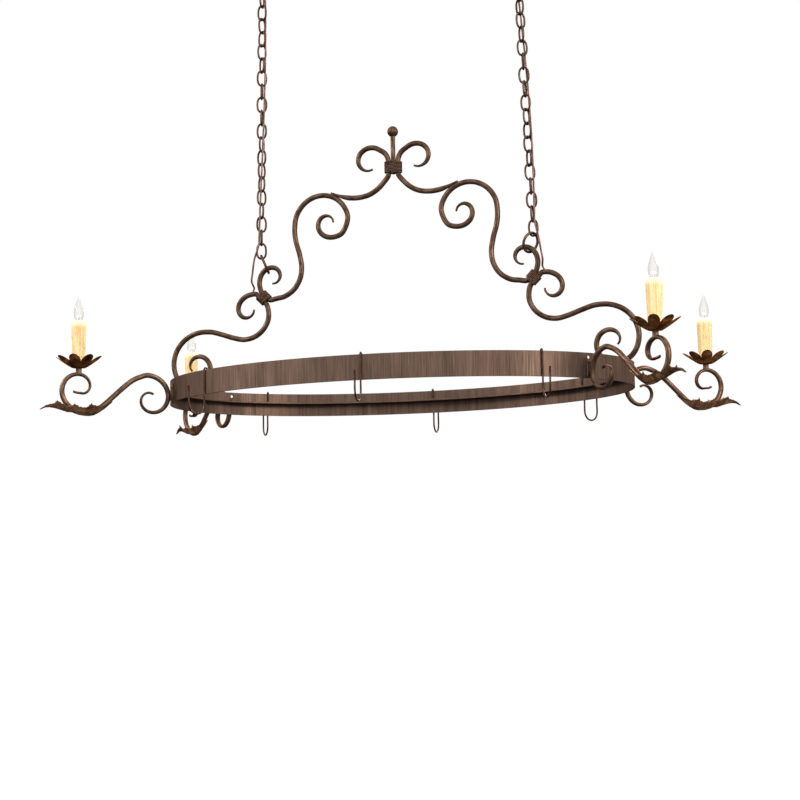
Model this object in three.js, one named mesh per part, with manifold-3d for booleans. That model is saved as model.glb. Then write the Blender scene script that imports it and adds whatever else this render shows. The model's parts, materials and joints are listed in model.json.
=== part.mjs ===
// A hanging pot rack with four candle lamps: an oval band on two chains, under an arch of forged scrolls.
// Millimetres, +Z up, +X along the ring. The rack is drawn from the ring's centre and the band's lower edge.
// The whole group is then lowered, so that the origin is on the ceiling, straight above the ring's middle.
import * as THREE from "three";
import { mergeVertices } from "three/addons/utils/BufferGeometryUtils.js";
import Module from "manifold-3d";

const wasm = await Module();
wasm.setup();

// ---- driving dimensions ----
const CLEAR = 0.3; // between pieces that touch
const RING_LENGTH = 1200;
const RING_WIDTH = 788;
const BAND_HEIGHT = 60;
const BAND_THICK = 3.2;
const LEDGE_WIDTH = 25;
const LEDGE_UNDERSIDE = 31; // above the band's lower edge
const FACET_SAG = 0.4; // how far the band's straight sides stay inside its ellipse, at most
const BAR_RADIUS = 6.7; // the arch's round bar
const BAR_TIP = 3.4; // its forged tips
const BAR_TAPER = 95; // length of a tip's taper
const CROWN_HEIGHT = 590; // middle of the centre binding
const KNOT_OUT = 361; // middle of a side binding, from the centre
const KNOT_HEIGHT = 279.7;
const KNOT_TILT = 45; // degrees, the way the two bars run through a side binding
const BINDING_WIRE = 4.2; // diameter
const BINDING_PITCH = 4.7;
const BINDING_CLEAR = 0.6; // between a binding and what it holds
const CROWN_TURNS = 6;
const KNOT_TURNS = 5;
const ROD_RADIUS = 6;
const BALL_RADIUS = 14;
const BALL_ABOVE = 93; // its middle, over the centre binding's
const ARM_RADIUS = 6.6;
const ARM_TIP = 2.8;
const ARM_TAPER = 120;
const ARM_PLACE = 26.75; // degrees round the ring's ellipse from its long axis
const LAMP_OUT = 236; // the lamp's axis, out from the band
const POST_TOP = 81; // where the drip pan sits
const POST_RADIUS = 7;
const NIPPLE_RADIUS = 4.75;
const PAN_THICK = 1.2;
const PAN_RADIUS = 58;
const PAN_RISE = 27;
const PAN_PETALS = 8;
const SOCKET_RADIUS = 10;
const SOCKET_TOP = 190;
const SLEEVE_TOP = 198;
const SLEEVE_FOOT_RADIUS = 17;
const SLEEVE_TOP_RADIUS = 20.2;
const BULB_TIP = 262.5;
const BULB_RADIUS = 12.6;
const BULB_BASE_RADIUS = 6;
const LEAF_THICK = 1.2;
const LEAF_CLEAR = 1.1; // under the arm
const CORD_HOLE_RADIUS = 4;
const CORD_HOLE_HEIGHT = 49.5;
const BOLT_HEIGHT = 38.8;
const BOLT_RADIUS = 2.6;
const BOLT_HEAD = 4.6;
const PLATE_THICK = 2; // the arm's foot plate
const PLATE_WIDTH = 13;
const HOOK_WIRE = 4.5; // diameter
const HOOK_SLACK = 1; // between a hook and the band's faces
const HOOK_DROP = 112; // from the band's top edge to the bottom of the J
const HOOK_GAP = 45; // stem to return, centre to centre
const HOOK_RETURN = 70; // height of the return's tip over the J's bottom
const HOOK_TAIL = 20; // what hangs down inside the band
const CHAIN_RING_LENGTH = 54; // outside
const CHAIN_RING_WIDTH = 49;
const CHAIN_RING_WIRE = 6;
const CHAIN_RING_SLACK = 1; // between it and the last link
const LINK_LENGTH = 44; // outside
const LINK_WIDTH = 28;
const LINK_WIRE = 4.5;
const LINK_TURN = -100; // degrees from each link down to the next, about
const CORD_DIAMETER = 5;
const CORD_OUT = 9.4; // from the chain's middle line
const CEILING_HEIGHT = 1150; // above the band's lower edge
const CHAIN_ENDS = 157; // what ring, loop and canopy take up between a side binding and the ceiling
const CANOPY_RADIUS = 62;
const CANOPY_DEPTH = 25;
const CANOPY_WALL = 1.6;
const EYE_WIRE = 5; // the canopy loop's
const EYE_RADIUS = 12.5; // to the middle of its wire
const STEM_RADIUS = 5;
const COLLAR_RADIUS = 8;
const CORD_WAY_RADIUS = 9.5; // the hole that lets the cord into a canopy
const CORD_WAY_OUT = 20; // from the canopy's axis

// What differs between the two sides. A ring hangs on its curl at seatAngle and leans outwards by ringLean.
// Ring and last link are turned about the chain by ringTurn and lastLink, and the lamp cord leaves the chain
// on the side given by cordTurn. The cord ends on the arch's outer curl, at cordEnd. All these are degrees.
const sides = {
  left: {
    sign: -1,
    chainHead: 358,
    seatAngle: 50,
    ringLean: 24,
    ringTurn: 109,
    lastLink: 19,
    cordTurn: -111.8,
    cordEnd: 112,
  },
  right: {
    sign: 1,
    chainHead: 338,
    seatAngle: 52,
    ringLean: 21.5,
    ringTurn: 55,
    lastLink: -10,
    cordTurn: -50,
    cordEnd: 115,
  },
};

const RING_END = RING_LENGTH / 2;
const BALL_HEIGHT = CROWN_HEIGHT + BALL_ABOVE;
const UP = new THREE.Vector3(0, 0, 1);
const ALONG = new THREE.Vector3(1, 0, 0);
const BACK = new THREE.Vector3(0, 1, 0);

const at = (x, y, z) => new THREE.Vector3(x, y, z);
const radians = (degrees) => THREE.MathUtils.degToRad(degrees);

// ---- finishes ----
const iron = new THREE.MeshStandardMaterial({ color: 0x6b5548, roughness: 0.5, metalness: 0.75 });
const darkIron = new THREE.MeshStandardMaterial({ color: 0x3b2a1e, roughness: 0.55, metalness: 0.7 });
const wax = new THREE.MeshStandardMaterial({ color: 0xf9dc96, roughness: 0.5, metalness: 0 });
const glass = new THREE.MeshStandardMaterial({
  color: 0xf4f0ea,
  roughness: 0.05,
  metalness: 0,
  transparent: true,
  opacity: 0.35,
});
const porcelain = new THREE.MeshStandardMaterial({ color: 0xe9e4d8, roughness: 0.4, metalness: 0 });
const cordSleeve = new THREE.MeshStandardMaterial({ color: 0x7a4a44, roughness: 0.6, metalness: 0 });
const zinc = new THREE.MeshStandardMaterial({ color: 0xa7a9ac, roughness: 0.35, metalness: 0.9 });

// ---- closed solids, and joins and cuts between them ----
function toSolid(geometry) {
  const bare = geometry.index ? geometry.toNonIndexed() : geometry.clone();
  for (const name of Object.keys(bare.attributes)) {
    if (name !== "position") bare.deleteAttribute(name);
  }
  const merged = mergeVertices(bare, 1e-3);
  return new wasm.Manifold(
    new wasm.Mesh({
      numProp: 3,
      vertProperties: new Float32Array(merged.attributes.position.array),
      triVerts: new Uint32Array(merged.index.array),
    }),
  );
}

function toGeometry(solid) {
  const mesh = solid.getMesh();
  const geometry = new THREE.BufferGeometry();
  geometry.setAttribute("position", new THREE.BufferAttribute(new Float32Array(mesh.vertProperties), 3));
  geometry.setIndex(new THREE.BufferAttribute(new Uint32Array(mesh.triVerts), 1));
  geometry.computeVertexNormals();
  return geometry;
}

const join = (...geometries) => toGeometry(geometries.map(toSolid).reduce((a, b) => a.add(b)));
const cut = (geometry, ...tools) =>
  toGeometry(tools.map(toSolid).reduce((a, b) => a.subtract(b), toSolid(geometry)));

// Rings of points, skinned into one closed surface. Each ring runs clockwise seen from the ring after it.
// The end faces are laid like the rungs of a ladder, so that a trough's end stays open above.
function skin(rings, closed = false) {
  const count = rings[0].length;
  const positions = rings.flat().flatMap((p) => [p.x, p.y, p.z]);
  const index = [];
  const last = closed ? rings.length : rings.length - 1;
  for (let i = 0; i < last; i++) {
    const here = i * count;
    const next = ((i + 1) % rings.length) * count;
    for (let j = 0; j < count; j++) {
      const k = (j + 1) % count;
      index.push(here + j, next + j, next + k, here + j, next + k, here + k);
    }
  }
  if (!closed) {
    const end = (rings.length - 1) * count;
    for (let low = 0, high = count - 1; high - low > 1; low++) {
      index.push(low, low + 1, high, end + low, end + high, end + low + 1);
      if (high - low === 2) break;
      index.push(low + 1, high - 1, high, end + low + 1, end + high, end + high - 1);
      high--;
    }
  }
  const geometry = new THREE.BufferGeometry();
  geometry.setAttribute("position", new THREE.Float32BufferAttribute(positions, 3));
  geometry.setIndex(index);
  geometry.computeVertexNormals();
  return geometry;
}

// A round bar along a smooth path. radiusAt gives its radius from the distances to its two ends.
// It gets a new ring where the path has turned far enough, or would stray from the ring's chord by sag.
function sweep(path, radiusAt, options = {}) {
  const { sides: count = 6, across = BACK, turn = 30, sag = 1.1, closed = false } = options;
  const curve = new THREE.CatmullRomCurve3(path, closed, "centripetal");
  const fine = path.length * 12;
  const samples = [];
  for (let i = 0; i <= fine; i++) {
    const point = curve.getPoint(i / fine);
    const tangent = curve.getTangent(i / fine);
    const before = samples[i - 1];
    const gone = before ? before.gone + point.distanceTo(before.point) : 0;
    const straight = before ? tangent.angleTo(before.tangent) < 1e-3 : false;
    samples.push({ point, tangent, gone, straight });
  }
  const total = samples[fine].gone;
  const stations = [samples[0]];
  for (let i = 1; i < fine; i++) {
    const sample = samples[i];
    const last = stations[stations.length - 1];
    const run = sample.gone - last.gone;
    const turned = sample.tangent.angleTo(last.tangent);
    const bent = turned >= radians(turn) || (run * turned) / 8 >= sag;
    const eased = sample.straight !== samples[i + 1].straight && run > 4;
    if (bent || eased) stations.push(sample);
  }
  if (!closed) {
    if (stations.length > 1 && total - stations[stations.length - 1].gone < 3) stations.pop();
    stations.push(samples[fine]);
  }
  const lean = across.clone();
  const rings = stations.map(({ point, tangent, gone }) => {
    lean.addScaledVector(tangent, -lean.dot(tangent)).normalize();
    const out = tangent.clone().cross(lean);
    const radius = radiusAt(gone, total - gone);
    return Array.from({ length: count }, (_, j) => {
      const angle = (2 * Math.PI * j) / count;
      return point
        .clone()
        .addScaledVector(out, radius * Math.cos(angle))
        .addScaledVector(lean, radius * Math.sin(angle));
    });
  });
  return skin(rings, closed);
}

// The radius of a bar that is drawn down to its two tips.
const drawnDown = (body, taper, startTip, endTip) => (fromStart, fromEnd) => {
  const ease = (gone, tip) =>
    gone >= taper ? body : tip + (body - tip) * Math.sin((Math.PI / 2) * (gone / taper));
  return Math.min(ease(fromStart, startTip), ease(fromEnd, endTip));
};

// Points of a scroll: its radius runs from first to last while its angle runs from one value to the other,
// slowly at first where grow is over 1.
function scroll([x, z], [first, last], [from, to], grow = 1) {
  const count = Math.max(2, Math.round(Math.abs(to - from) / 26));
  return Array.from({ length: count + 1 }, (_, i) => {
    const share = i / count;
    const radius = first + (last - first) * share ** grow;
    const angle = radians(from + (to - from) * share);
    return [x + radius * Math.cos(angle), z + radius * Math.sin(angle)];
  });
}

// ---- the ring ----
// Corners of the ring's outline in one quarter, long axis to short axis, as places on its ellipse.
// One straight side is centred on each arm's place, so that the arm's foot has a flat seat.
const STEPS_TO_ARM = 5.5;
const STEPS_PAST_ARM = 12.5;
function quarterPlaces() {
  const near = ARM_PLACE / STEPS_TO_ARM;
  const far = (90 - ARM_PLACE) / STEPS_PAST_ARM;
  const places = [];
  for (let i = 0; i < STEPS_TO_ARM; i++) places.push(i * near);
  for (let i = 0.5; i <= STEPS_PAST_ARM; i++) places.push(ARM_PLACE + i * far);
  return places;
}
const quarter = quarterPlaces();
const places = [
  ...quarter,
  ...quarter.slice(1, -1).map((a) => 180 - a).reverse(),
  ...quarter.map((a) => 180 + a),
  ...quarter.slice(1, -1).map((a) => 360 - a).reverse(),
];

// The ring's outline, drawn in by an inset from its outside.
const outline = (inset) =>
  places.map((a) => {
    const x = (RING_LENGTH / 2 - inset) * Math.cos(radians(a));
    const y = (RING_WIDTH / 2 - inset) * Math.sin(radians(a));
    return new THREE.Vector2(x, y);
  });

// Where something sits on the band: a point of its outer face at the lower edge, and the ways out and along.
function seatAt(place) {
  const turned = ((place % 360) + 360) % 360;
  const corners = outline(0);
  let i = places.findIndex((a) => a > turned);
  if (i < 0) i = places.length;
  const from = corners[i - 1];
  const to = corners[i % corners.length];
  const past = i < places.length ? places[i] : 360;
  const share = (turned - places[i - 1]) / (past - places[i - 1]);
  const point = from.clone().lerp(to, share);
  const along = to.clone().sub(from).normalize();
  return { point: at(point.x, point.y, 0), out: at(along.y, -along.x, 0), along: at(along.x, along.y, 0) };
}

function ovalRing(outerInset, innerInset, bottom, height) {
  const shape = new THREE.Shape(outline(outerInset));
  shape.holes.push(new THREE.Path(outline(innerInset)));
  const geometry = new THREE.ExtrudeGeometry(shape, { depth: height, bevelEnabled: false });
  return geometry.translate(0, 0, bottom);
}

// The same on the true ellipse, for what slides round the band.
function slideSeatAt(place) {
  const [c, s] = [Math.cos(radians(place)), Math.sin(radians(place))];
  const [a, b] = [RING_LENGTH / 2, RING_WIDTH / 2];
  const out = at(b * c, a * s, 0).normalize();
  const point = at(a * c, b * s, 0).addScaledVector(out, -FACET_SAG / 2);
  return { point, out, along: at(-out.y, out.x, 0) };
}

// A round pin or drill through the band, square to its face at a seat.
function throughBand(seat, height, radius, from, to, count = 8) {
  const pin = new THREE.CylinderGeometry(radius, radius, to - from, count);
  pin.applyQuaternion(new THREE.Quaternion().setFromUnitVectors(BACK, seat.out));
  const centre = seat.point.clone().addScaledVector(seat.out, (from + to) / 2);
  return pin.translate(centre.x, centre.y, height);
}

const armPlaces = {
  front_left: 180 + ARM_PLACE,
  front_right: -ARM_PLACE,
  back_left: 180 - ARM_PLACE,
  back_right: ARM_PLACE,
};

function ringBand() {
  const drills = Object.values(armPlaces).flatMap((place) => {
    const seat = seatAt(place);
    return [
      throughBand(seat, CORD_HOLE_HEIGHT, CORD_HOLE_RADIUS, -3 * BAND_THICK, BAND_THICK),
      throughBand(seat, BOLT_HEIGHT, boreAround(BOLT_RADIUS, 8), -3 * BAND_THICK, BAND_THICK),
    ];
  });
  return cut(ovalRing(0, BAND_THICK, 0, BAND_HEIGHT), ...drills);
}

function ringLedge() {
  const outer = BAND_THICK + CLEAR;
  return ovalRing(outer, outer + LEDGE_WIDTH, LEDGE_UNDERSIDE, BAND_THICK);
}

// ---- the arch ----
const barSpread = ROD_RADIUS + BAR_RADIUS + 2 * CLEAR; // a centre bar's distance from the rod's axis
const knotAlong = [Math.cos(radians(KNOT_TILT)), Math.sin(radians(KNOT_TILT))];
const knotSpread = BAR_RADIUS + CLEAR; // each bar's distance from the side binding's middle
const bindingLength = (turns) => turns * BINDING_PITCH + BINDING_WIRE;

// Points of a bar where it runs straight through a side binding, the upper bar (side 1) or the lower (-1).
function throughKnot(side) {
  const reach = bindingLength(KNOT_TURNS) / 2;
  const [u, w] = knotAlong;
  const middle = [KNOT_OUT - w * knotSpread * side, KNOT_HEIGHT + u * knotSpread * side];
  return [-1.2, -0.85, 0.85, 1.2].map((end) => [middle[0] + u * reach * end, middle[1] + w * reach * end]);
}

const SHOULDER_DROP = 129; // from the centre binding down to the shoulder scroll's middle
const shoulderCentre = [KNOT_OUT - 167, CROWN_HEIGHT - SHOULDER_DROP];
const SHOULDER_RADIUS = 71;

// Ear scroll, through the centre binding, and down to lie on the shoulder scroll's back.
function centreBarPath() {
  const reach = bindingLength(CROWN_TURNS) / 2;
  const ear = scroll([67, CROWN_HEIGHT + 24.8], [27.6, 41.3], [-116, 166], 5);
  const binding = [1.2, 0.85, -0.85, -1.2].map((end) => [barSpread, CROWN_HEIGHT + reach * end]);
  const landing = [131, 117].map((angle) => {
    const radius = SHOULDER_RADIUS + BAR_RADIUS + BAR_TIP + 2 * CLEAR + (angle - 117) * 0.2;
    const turned = radians(angle);
    return [shoulderCentre[0] + radius * Math.cos(turned), shoulderCentre[1] + radius * Math.sin(turned)];
  });
  const swoop = [
    [25, CROWN_HEIGHT - 35],
    [44, CROWN_HEIGHT - 53],
    [68, CROWN_HEIGHT - 65.5],
    [96, CROWN_HEIGHT - 70],
    [120, CROWN_HEIGHT - 67.5],
  ];
  return [...ear, ...binding, ...swoop, ...landing];
}

// Inner spiral, shoulder, through the side binding, and the curl that holds the chain's ring.
function shoulderBarPath() {
  const [x, z] = shoulderCentre;
  const drop = z - KNOT_HEIGHT;
  const swoop = [
    [76, 0.2096],
    [66, 0.4082],
    [60.5, 0.5957],
    [65, 0.7612],
    [82, 0.9101],
    [108, 1.0011],
    [130, 1.0232],
  ].map(([out, share]) => [x + out, z - drop * share]);
  return [
    ...scroll([x - 10, z + 0.5], [18.8, 51.3], [179, -145], 3.5),
    ...scroll([x, z], [69, 79], [172, -6]),
    ...swoop,
    ...throughKnot(1),
    ...seatCurl(),
  ];
}

const curlCentre = [KNOT_OUT - 26.8, KNOT_HEIGHT + 54.6];
const seatCurl = () => scroll(curlCentre, [19.2, 42.6], [-82, -385], 4).reverse();

// Outer curl, through the side binding, out and down over the band's top edge, and the scroll inside it.
const tipCentre = [KNOT_OUT + 48.8, KNOT_HEIGHT - 28];
const tipCurl = () => scroll(tipCentre, [21.3, 48], [-178, 126], 5);
function footBarPath() {
  const edgeSlope = radians(40);
  const rise = (BAR_RADIUS + CLEAR + (Math.sin(edgeSlope) * BAND_THICK) / 2) / Math.cos(edgeSlope);
  const overEdge = [5, -5].map((along) => [
    RING_END - BAND_THICK / 2 + along * Math.cos(edgeSlope),
    BAND_HEIGHT + rise + along * Math.sin(edgeSlope),
  ]);
  return [
    ...tipCurl(),
    ...throughKnot(-1).reverse(),
    ...scroll([KNOT_OUT + 50.7, KNOT_HEIGHT - 33.3], [62.5, 72.6], [176, 274], 0.6),
    [RING_END - 153, BAND_HEIGHT + 120],
    [RING_END - 120, BAND_HEIGHT + 131],
    ...scroll([RING_END - 53.8, BAND_HEIGHT + 50], [95.9, 70], [110, -28], 0.82),
    ...overEdge,
    ...scroll([RING_END - 47.4, BAND_HEIGHT + 49.5], [63.1, 16.3], [285, -35], 0.55),
  ];
}

const archPoint = (sign) => ([x, z]) => at(sign * x, 0, z);
const archBar = (path, sign, startTip = BAR_TIP, endTip = BAR_TIP) =>
  sweep(path.map(archPoint(sign)), drawnDown(BAR_RADIUS, BAR_TAPER, startTip, endTip));

function crownFinial() {
  const foot = CROWN_HEIGHT - bindingLength(CROWN_TURNS) / 2 - 1;
  const profile = [new THREE.Vector2(0, foot), new THREE.Vector2(ROD_RADIUS, foot)];
  const start = Math.asin(ROD_RADIUS / BALL_RADIUS);
  const steps = 7;
  for (let i = 0; i <= steps; i++) {
    const angle = start + ((Math.PI - start) * i) / steps;
    const radius = Math.abs(BALL_RADIUS * Math.sin(angle));
    profile.push(new THREE.Vector2(radius, BALL_HEIGHT - BALL_RADIUS * Math.cos(angle)));
  }
  profile[profile.length - 1].x = 0;
  return upright(new THREE.LatheGeometry(profile, 10));
}

// A revolved form is drawn round Y, so it is stood up on Z.
const upright = (geometry) => geometry.rotateX(Math.PI / 2);

// A binding: one unbroken wire wound round bars that lie side by side. Its section is a circle drawn out by
// half the bars' spread to either side. The ends run straight for one wire's diameter.
const WINDING_STEPS = 12;
function binding(halfSpread, bundleRadius, turns) {
  const radius = bundleRadius + BINDING_CLEAR + BINDING_WIRE / 2;
  const flat = 2 * halfSpread;
  const loop = 2 * flat + 2 * Math.PI * radius;
  const around = (gone) => {
    const d = ((gone % loop) + loop) % loop;
    if (d < flat) return [d - halfSpread, -radius];
    if (d < flat + Math.PI * radius) {
      const angle = (d - flat) / radius - Math.PI / 2;
      return [halfSpread + radius * Math.cos(angle), radius * Math.sin(angle)];
    }
    if (d < 2 * flat + Math.PI * radius) return [halfSpread - (d - flat - Math.PI * radius), radius];
    const angle = (d - 2 * flat - Math.PI * radius) / radius + Math.PI / 2;
    return [-halfSpread + radius * Math.cos(angle), radius * Math.sin(angle)];
  };
  const steps = turns * WINDING_STEPS;
  const start = halfSpread; // in the middle of the front's straight stretch
  return Array.from({ length: steps + 1 }, (_, i) => {
    const [x, y] = around(start + (loop * turns * i) / steps);
    return at(x, y, (i / steps - 0.5) * turns * BINDING_PITCH);
  });
}

// The least gap between a wound wire and itself, over points that are more than half a turn apart.
function leastGap(points, diameter) {
  const curve = new THREE.CatmullRomCurve3(points, false, "centripetal");
  const fine = curve.getPoints(points.length * 4);
  const apart = WINDING_STEPS * 2;
  let least = Infinity;
  fine.forEach((p, i) => {
    for (let j = i + apart; j < fine.length; j++) least = Math.min(least, p.distanceTo(fine[j]));
  });
  return least - diameter;
}

function bindingWire(halfSpread, bundleRadius, turns) {
  const points = binding(halfSpread, bundleRadius, turns);
  const gap = leastGap(points, BINDING_WIRE);
  console.log(`binding of ${turns} turns: least gap to itself ${gap.toFixed(2)} mm`);
  const before = points[0].clone().addScaledVector(ALONG, -BINDING_WIRE);
  const after = points[points.length - 1].clone().addScaledVector(ALONG, BINDING_WIRE);
  const path = [before, ...points, after];
  return sweep(path, () => BINDING_WIRE / 2, { sides: 5, across: UP, turn: 38, sag: 1 });
}

// ---- the lamp arms ----
// Inner scroll, hump, hollow, and the outer scroll that carries the lamp's post, as distance out and height.
const armPath = [
  ...scroll([57.8, 6], [15.3, 60.6], [124, -275], 1.56),
  [83, 62.5],
  [102, 56.5],
  [120, 41.5],
  [152, 10],
  [170, -7],
  [186, -19.5],
  ...scroll([231.5, 31.5], [66.6, 11.5], [-116, 302], 0.76),
];

const outwards = (seat) => ([out, height]) => seat.point.clone().addScaledVector(seat.out, out).setZ(height);

// A block on the band at a seat: out from the band, along it, and up.
function blockAt(seat, [nearOut, farOut], width, [bottom, top]) {
  const block = new THREE.BoxGeometry(farOut - nearOut, width, top - bottom);
  block.rotateZ(Math.atan2(seat.out.y, seat.out.x));
  const centre = outwards(seat)([(nearOut + farOut) / 2, (bottom + top) / 2]);
  return block.translate(centre.x, centre.y, centre.z);
}

function lampPost(seat) {
  const foot = 67;
  const profile = [
    [0, foot],
    [POST_RADIUS, foot],
    [POST_RADIUS - 0.8, POST_TOP - 5],
    [POST_RADIUS, POST_TOP],
    [NIPPLE_RADIUS, POST_TOP],
    [NIPPLE_RADIUS, POST_TOP + 9],
    [0, POST_TOP + 9],
  ];
  return revolved(profile, seat);
}

const REVOLVED_SIDES = 10;
const boreAround = (radius, count = REVOLVED_SIDES) => (radius + CLEAR) / Math.cos(Math.PI / count);

// A form revolved round the lamp's axis, from radii and heights.
function revolved(profile, seat, segments = REVOLVED_SIDES) {
  const outlinePoints = profile.map(([radius, height]) => new THREE.Vector2(radius, height));
  const geometry = upright(new THREE.LatheGeometry(outlinePoints, segments));
  const centre = outwards(seat)([LAMP_OUT, 0]);
  return geometry.translate(centre.x, centre.y, 0);
}

const FOOT_BLOCK = 28; // top of the block between the band and the scroll
const FOOT_BOTTOM = 5;
const FOOT_REACH = 10;

function lampArm(seat) {
  const bar = sweep(armPath.map(outwards(seat)), drawnDown(ARM_RADIUS, ARM_TAPER, ARM_TIP, ARM_TIP), {
    across: seat.along,
    turn: 36,
    sag: 1.5,
  });
  const block = blockAt(seat, [CLEAR, FOOT_REACH], 9, [FOOT_BOTTOM, FOOT_BLOCK]);
  const plate = blockAt(seat, [CLEAR, CLEAR + PLATE_THICK], PLATE_WIDTH, [FOOT_BOTTOM - 1, BOLT_HEIGHT + 6]);
  const boltHole = throughBand(seat, BOLT_HEIGHT, boreAround(BOLT_RADIUS, 8), -1, 2 * PLATE_THICK);
  return cut(join(bar, block, plate, lampPost(seat)), boltHole);
}

function armBolt(seat) {
  const seatOut = CLEAR + PLATE_THICK + CLEAR;
  const head = throughBand(seat, BOLT_HEIGHT, BOLT_HEAD, seatOut, seatOut + 2.8);
  const shank = throughBand(seat, BOLT_HEIGHT, BOLT_RADIUS, -BAND_THICK - 2, seatOut + 1, 6);
  return join(head, shank);
}

// ---- leaves, pans, candles and bulbs ----
// A hammered leaf lies under the arm like a trough and curls off beyond it.
// Each station: distance out, half width, height of its toothed edge, and the rib's own height past the arm.
const leafStations = [
  { out: 158, half: 7.6, edge: 5 },
  { out: 172, half: 8.6, edge: 8 },
  { out: 184, half: 12, edge: 20 },
  { out: 195, half: 14, edge: 29 },
  { out: 205, half: 11, edge: 17 },
  { out: 215, half: 14, edge: 27 },
  { out: 223, half: 10, edge: 12 },
  { out: 232, half: 12, edge: 19 },
  { out: 246, half: 13, edge: 23 },
  { out: 262, half: 9, edge: 12, rib: -28.5 },
  { out: 277, half: 12, edge: 17, rib: -24 },
  { out: 294, half: 11, edge: 15, rib: -19.5 },
  { out: 304, half: 7, edge: 6, rib: -17.5 },
  { out: 315, half: 7, edge: 7, rib: -17 },
  { out: 331, half: 2, edge: 1.5, rib: -22 },
];

const armMiddle = armPath.map(([out, height]) => at(out, 0, height));
const armSamples = new THREE.CatmullRomCurve3(armMiddle, false, "centripetal").getPoints(600);

// The arm's underside at a distance out, one clearance below it.
function underArm(out) {
  const reach = ARM_RADIUS + LEAF_CLEAR;
  let lowest = Infinity;
  for (const p of armSamples) {
    const sideways = Math.abs(p.x - out);
    if (sideways >= reach || p.x <= 150) continue;
    lowest = Math.min(lowest, p.z - Math.sqrt(reach * reach - sideways * sideways));
  }
  return lowest;
}

function leafTrough(seat) {
  const rings = leafStations.map(({ out, half, edge, rib }) => {
    const base = rib ?? underArm(out);
    const bed = Math.min(5, half * 0.55);
    const section = [
      [-half, edge],
      [-bed, 0],
      [bed, 0],
      [half, edge],
      [half + LEAF_THICK, edge - 0.4],
      [bed + 0.4, -LEAF_THICK],
      [-bed - 0.4, -LEAF_THICK],
      [-half - LEAF_THICK, edge - 0.4],
    ];
    return section.map(([sideways, up]) =>
      outwards(seat)([out, base + up]).addScaledVector(seat.along, sideways),
    );
  });
  return skin(rings);
}

// The drip pan: a cup of petals, cut in between them and rising to their tips.
const PAN_CORE = 17.5;
const PAN_NOTCH = 21;
function dripPan(seat) {
  const centre = outwards(seat)([LAMP_OUT, POST_TOP + CLEAR]);
  const hole = boreAround(NIPPLE_RADIUS);
  const petalReach = [PAN_NOTCH, PAN_RADIUS * 0.96, PAN_RADIUS * 0.96];
  const count = PAN_PETALS * petalReach.length;
  const firstPetal = Math.atan2(seat.out.y, seat.out.x);
  const heightAt = (radius) => PAN_RISE * Math.max(0, (radius - PAN_CORE) / (PAN_RADIUS - PAN_CORE)) ** 1.15;
  const ringAt = (share, lift) =>
    Array.from({ length: count }, (_, j) => {
      const reach = petalReach[j % petalReach.length];
      const radius = share < 0 ? hole : PAN_CORE + (reach - PAN_CORE) * share;
      const angle = firstPetal - (2 * Math.PI * (j - 1.5)) / count;
      return at(
        centre.x + radius * Math.cos(angle),
        centre.y + radius * Math.sin(angle),
        centre.z + (share < 0 ? 0 : heightAt(radius)) + lift,
      );
    });
  const under = [-1, 0, 1].map((share) => ringAt(share, 0));
  const over = [1, 0, -1].map((share) => ringAt(share, PAN_THICK));
  return skin([...under, ...over], true);
}

const panTop = POST_TOP + CLEAR + PAN_THICK + CLEAR;

function lampSocket(seat) {
  const bore = boreAround(NIPPLE_RADIUS);
  const mouth = boreAround(BULB_BASE_RADIUS);
  const shelf = SOCKET_TOP - 22;
  return revolved(
    [
      [bore, panTop],
      [SOCKET_RADIUS, panTop],
      [SOCKET_RADIUS, SOCKET_TOP],
      [mouth, SOCKET_TOP],
      [mouth, shelf],
      [bore, shelf],
      [bore, panTop],
    ],
    seat,
  );
}

// The candle sleeve flares to its top and has drips down its sides.
function candleSleeve(seat) {
  const centre = outwards(seat)([LAMP_OUT, 0]);
  const count = 12;
  const bore = boreAround(SOCKET_RADIUS, count);
  const ringAt = (height, radius, drip) =>
    Array.from({ length: count }, (_, j) => {
      const angle = (-2 * Math.PI * j) / count;
      const swell = drip * (Math.sin(3 * angle + height / 40) + 0.6 * Math.cos(5 * angle));
      return at(
        centre.x + (radius + swell) * Math.cos(angle),
        centre.y + (radius + swell) * Math.sin(angle),
        height,
      );
    });
  const height = SLEEVE_TOP - panTop;
  const radiusAt = (share) => SLEEVE_FOOT_RADIUS + (SLEEVE_TOP_RADIUS - SLEEVE_FOOT_RADIUS) * share;
  const skinRings = [0, 0.4, 0.75, 1].map((share) =>
    ringAt(panTop + height * share, radiusAt(share), 0.7 * share),
  );
  skinRings.push(ringAt(SLEEVE_TOP, bore, 0), ringAt(panTop, bore, 0));
  return skin(skinRings, true);
}

function flameBulb(seat) {
  const base = BULB_BASE_RADIUS;
  const bottom = SOCKET_TOP - 21;
  const belly = SOCKET_TOP + 28;
  return revolved(
    [
      [0, bottom],
      [base, bottom],
      [base, SOCKET_TOP + 3],
      [base + 3, SOCKET_TOP + 11],
      [BULB_RADIUS - 0.8, belly - 9],
      [BULB_RADIUS, belly],
      [BULB_RADIUS - 1.4, belly + 11],
      [BULB_RADIUS * 0.63, belly + 23],
      [BULB_RADIUS * 0.34, belly + 33],
      [0, BULB_TIP],
    ],
    seat,
  );
}

// ---- pot hooks ----
const hookPlaces = {
  front_left: 229.75,
  front_centre: 274.75,
  front_right: 318,
  back_left: 140.25,
  back_centre: 93.25,
  back_right: 47,
};

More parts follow.
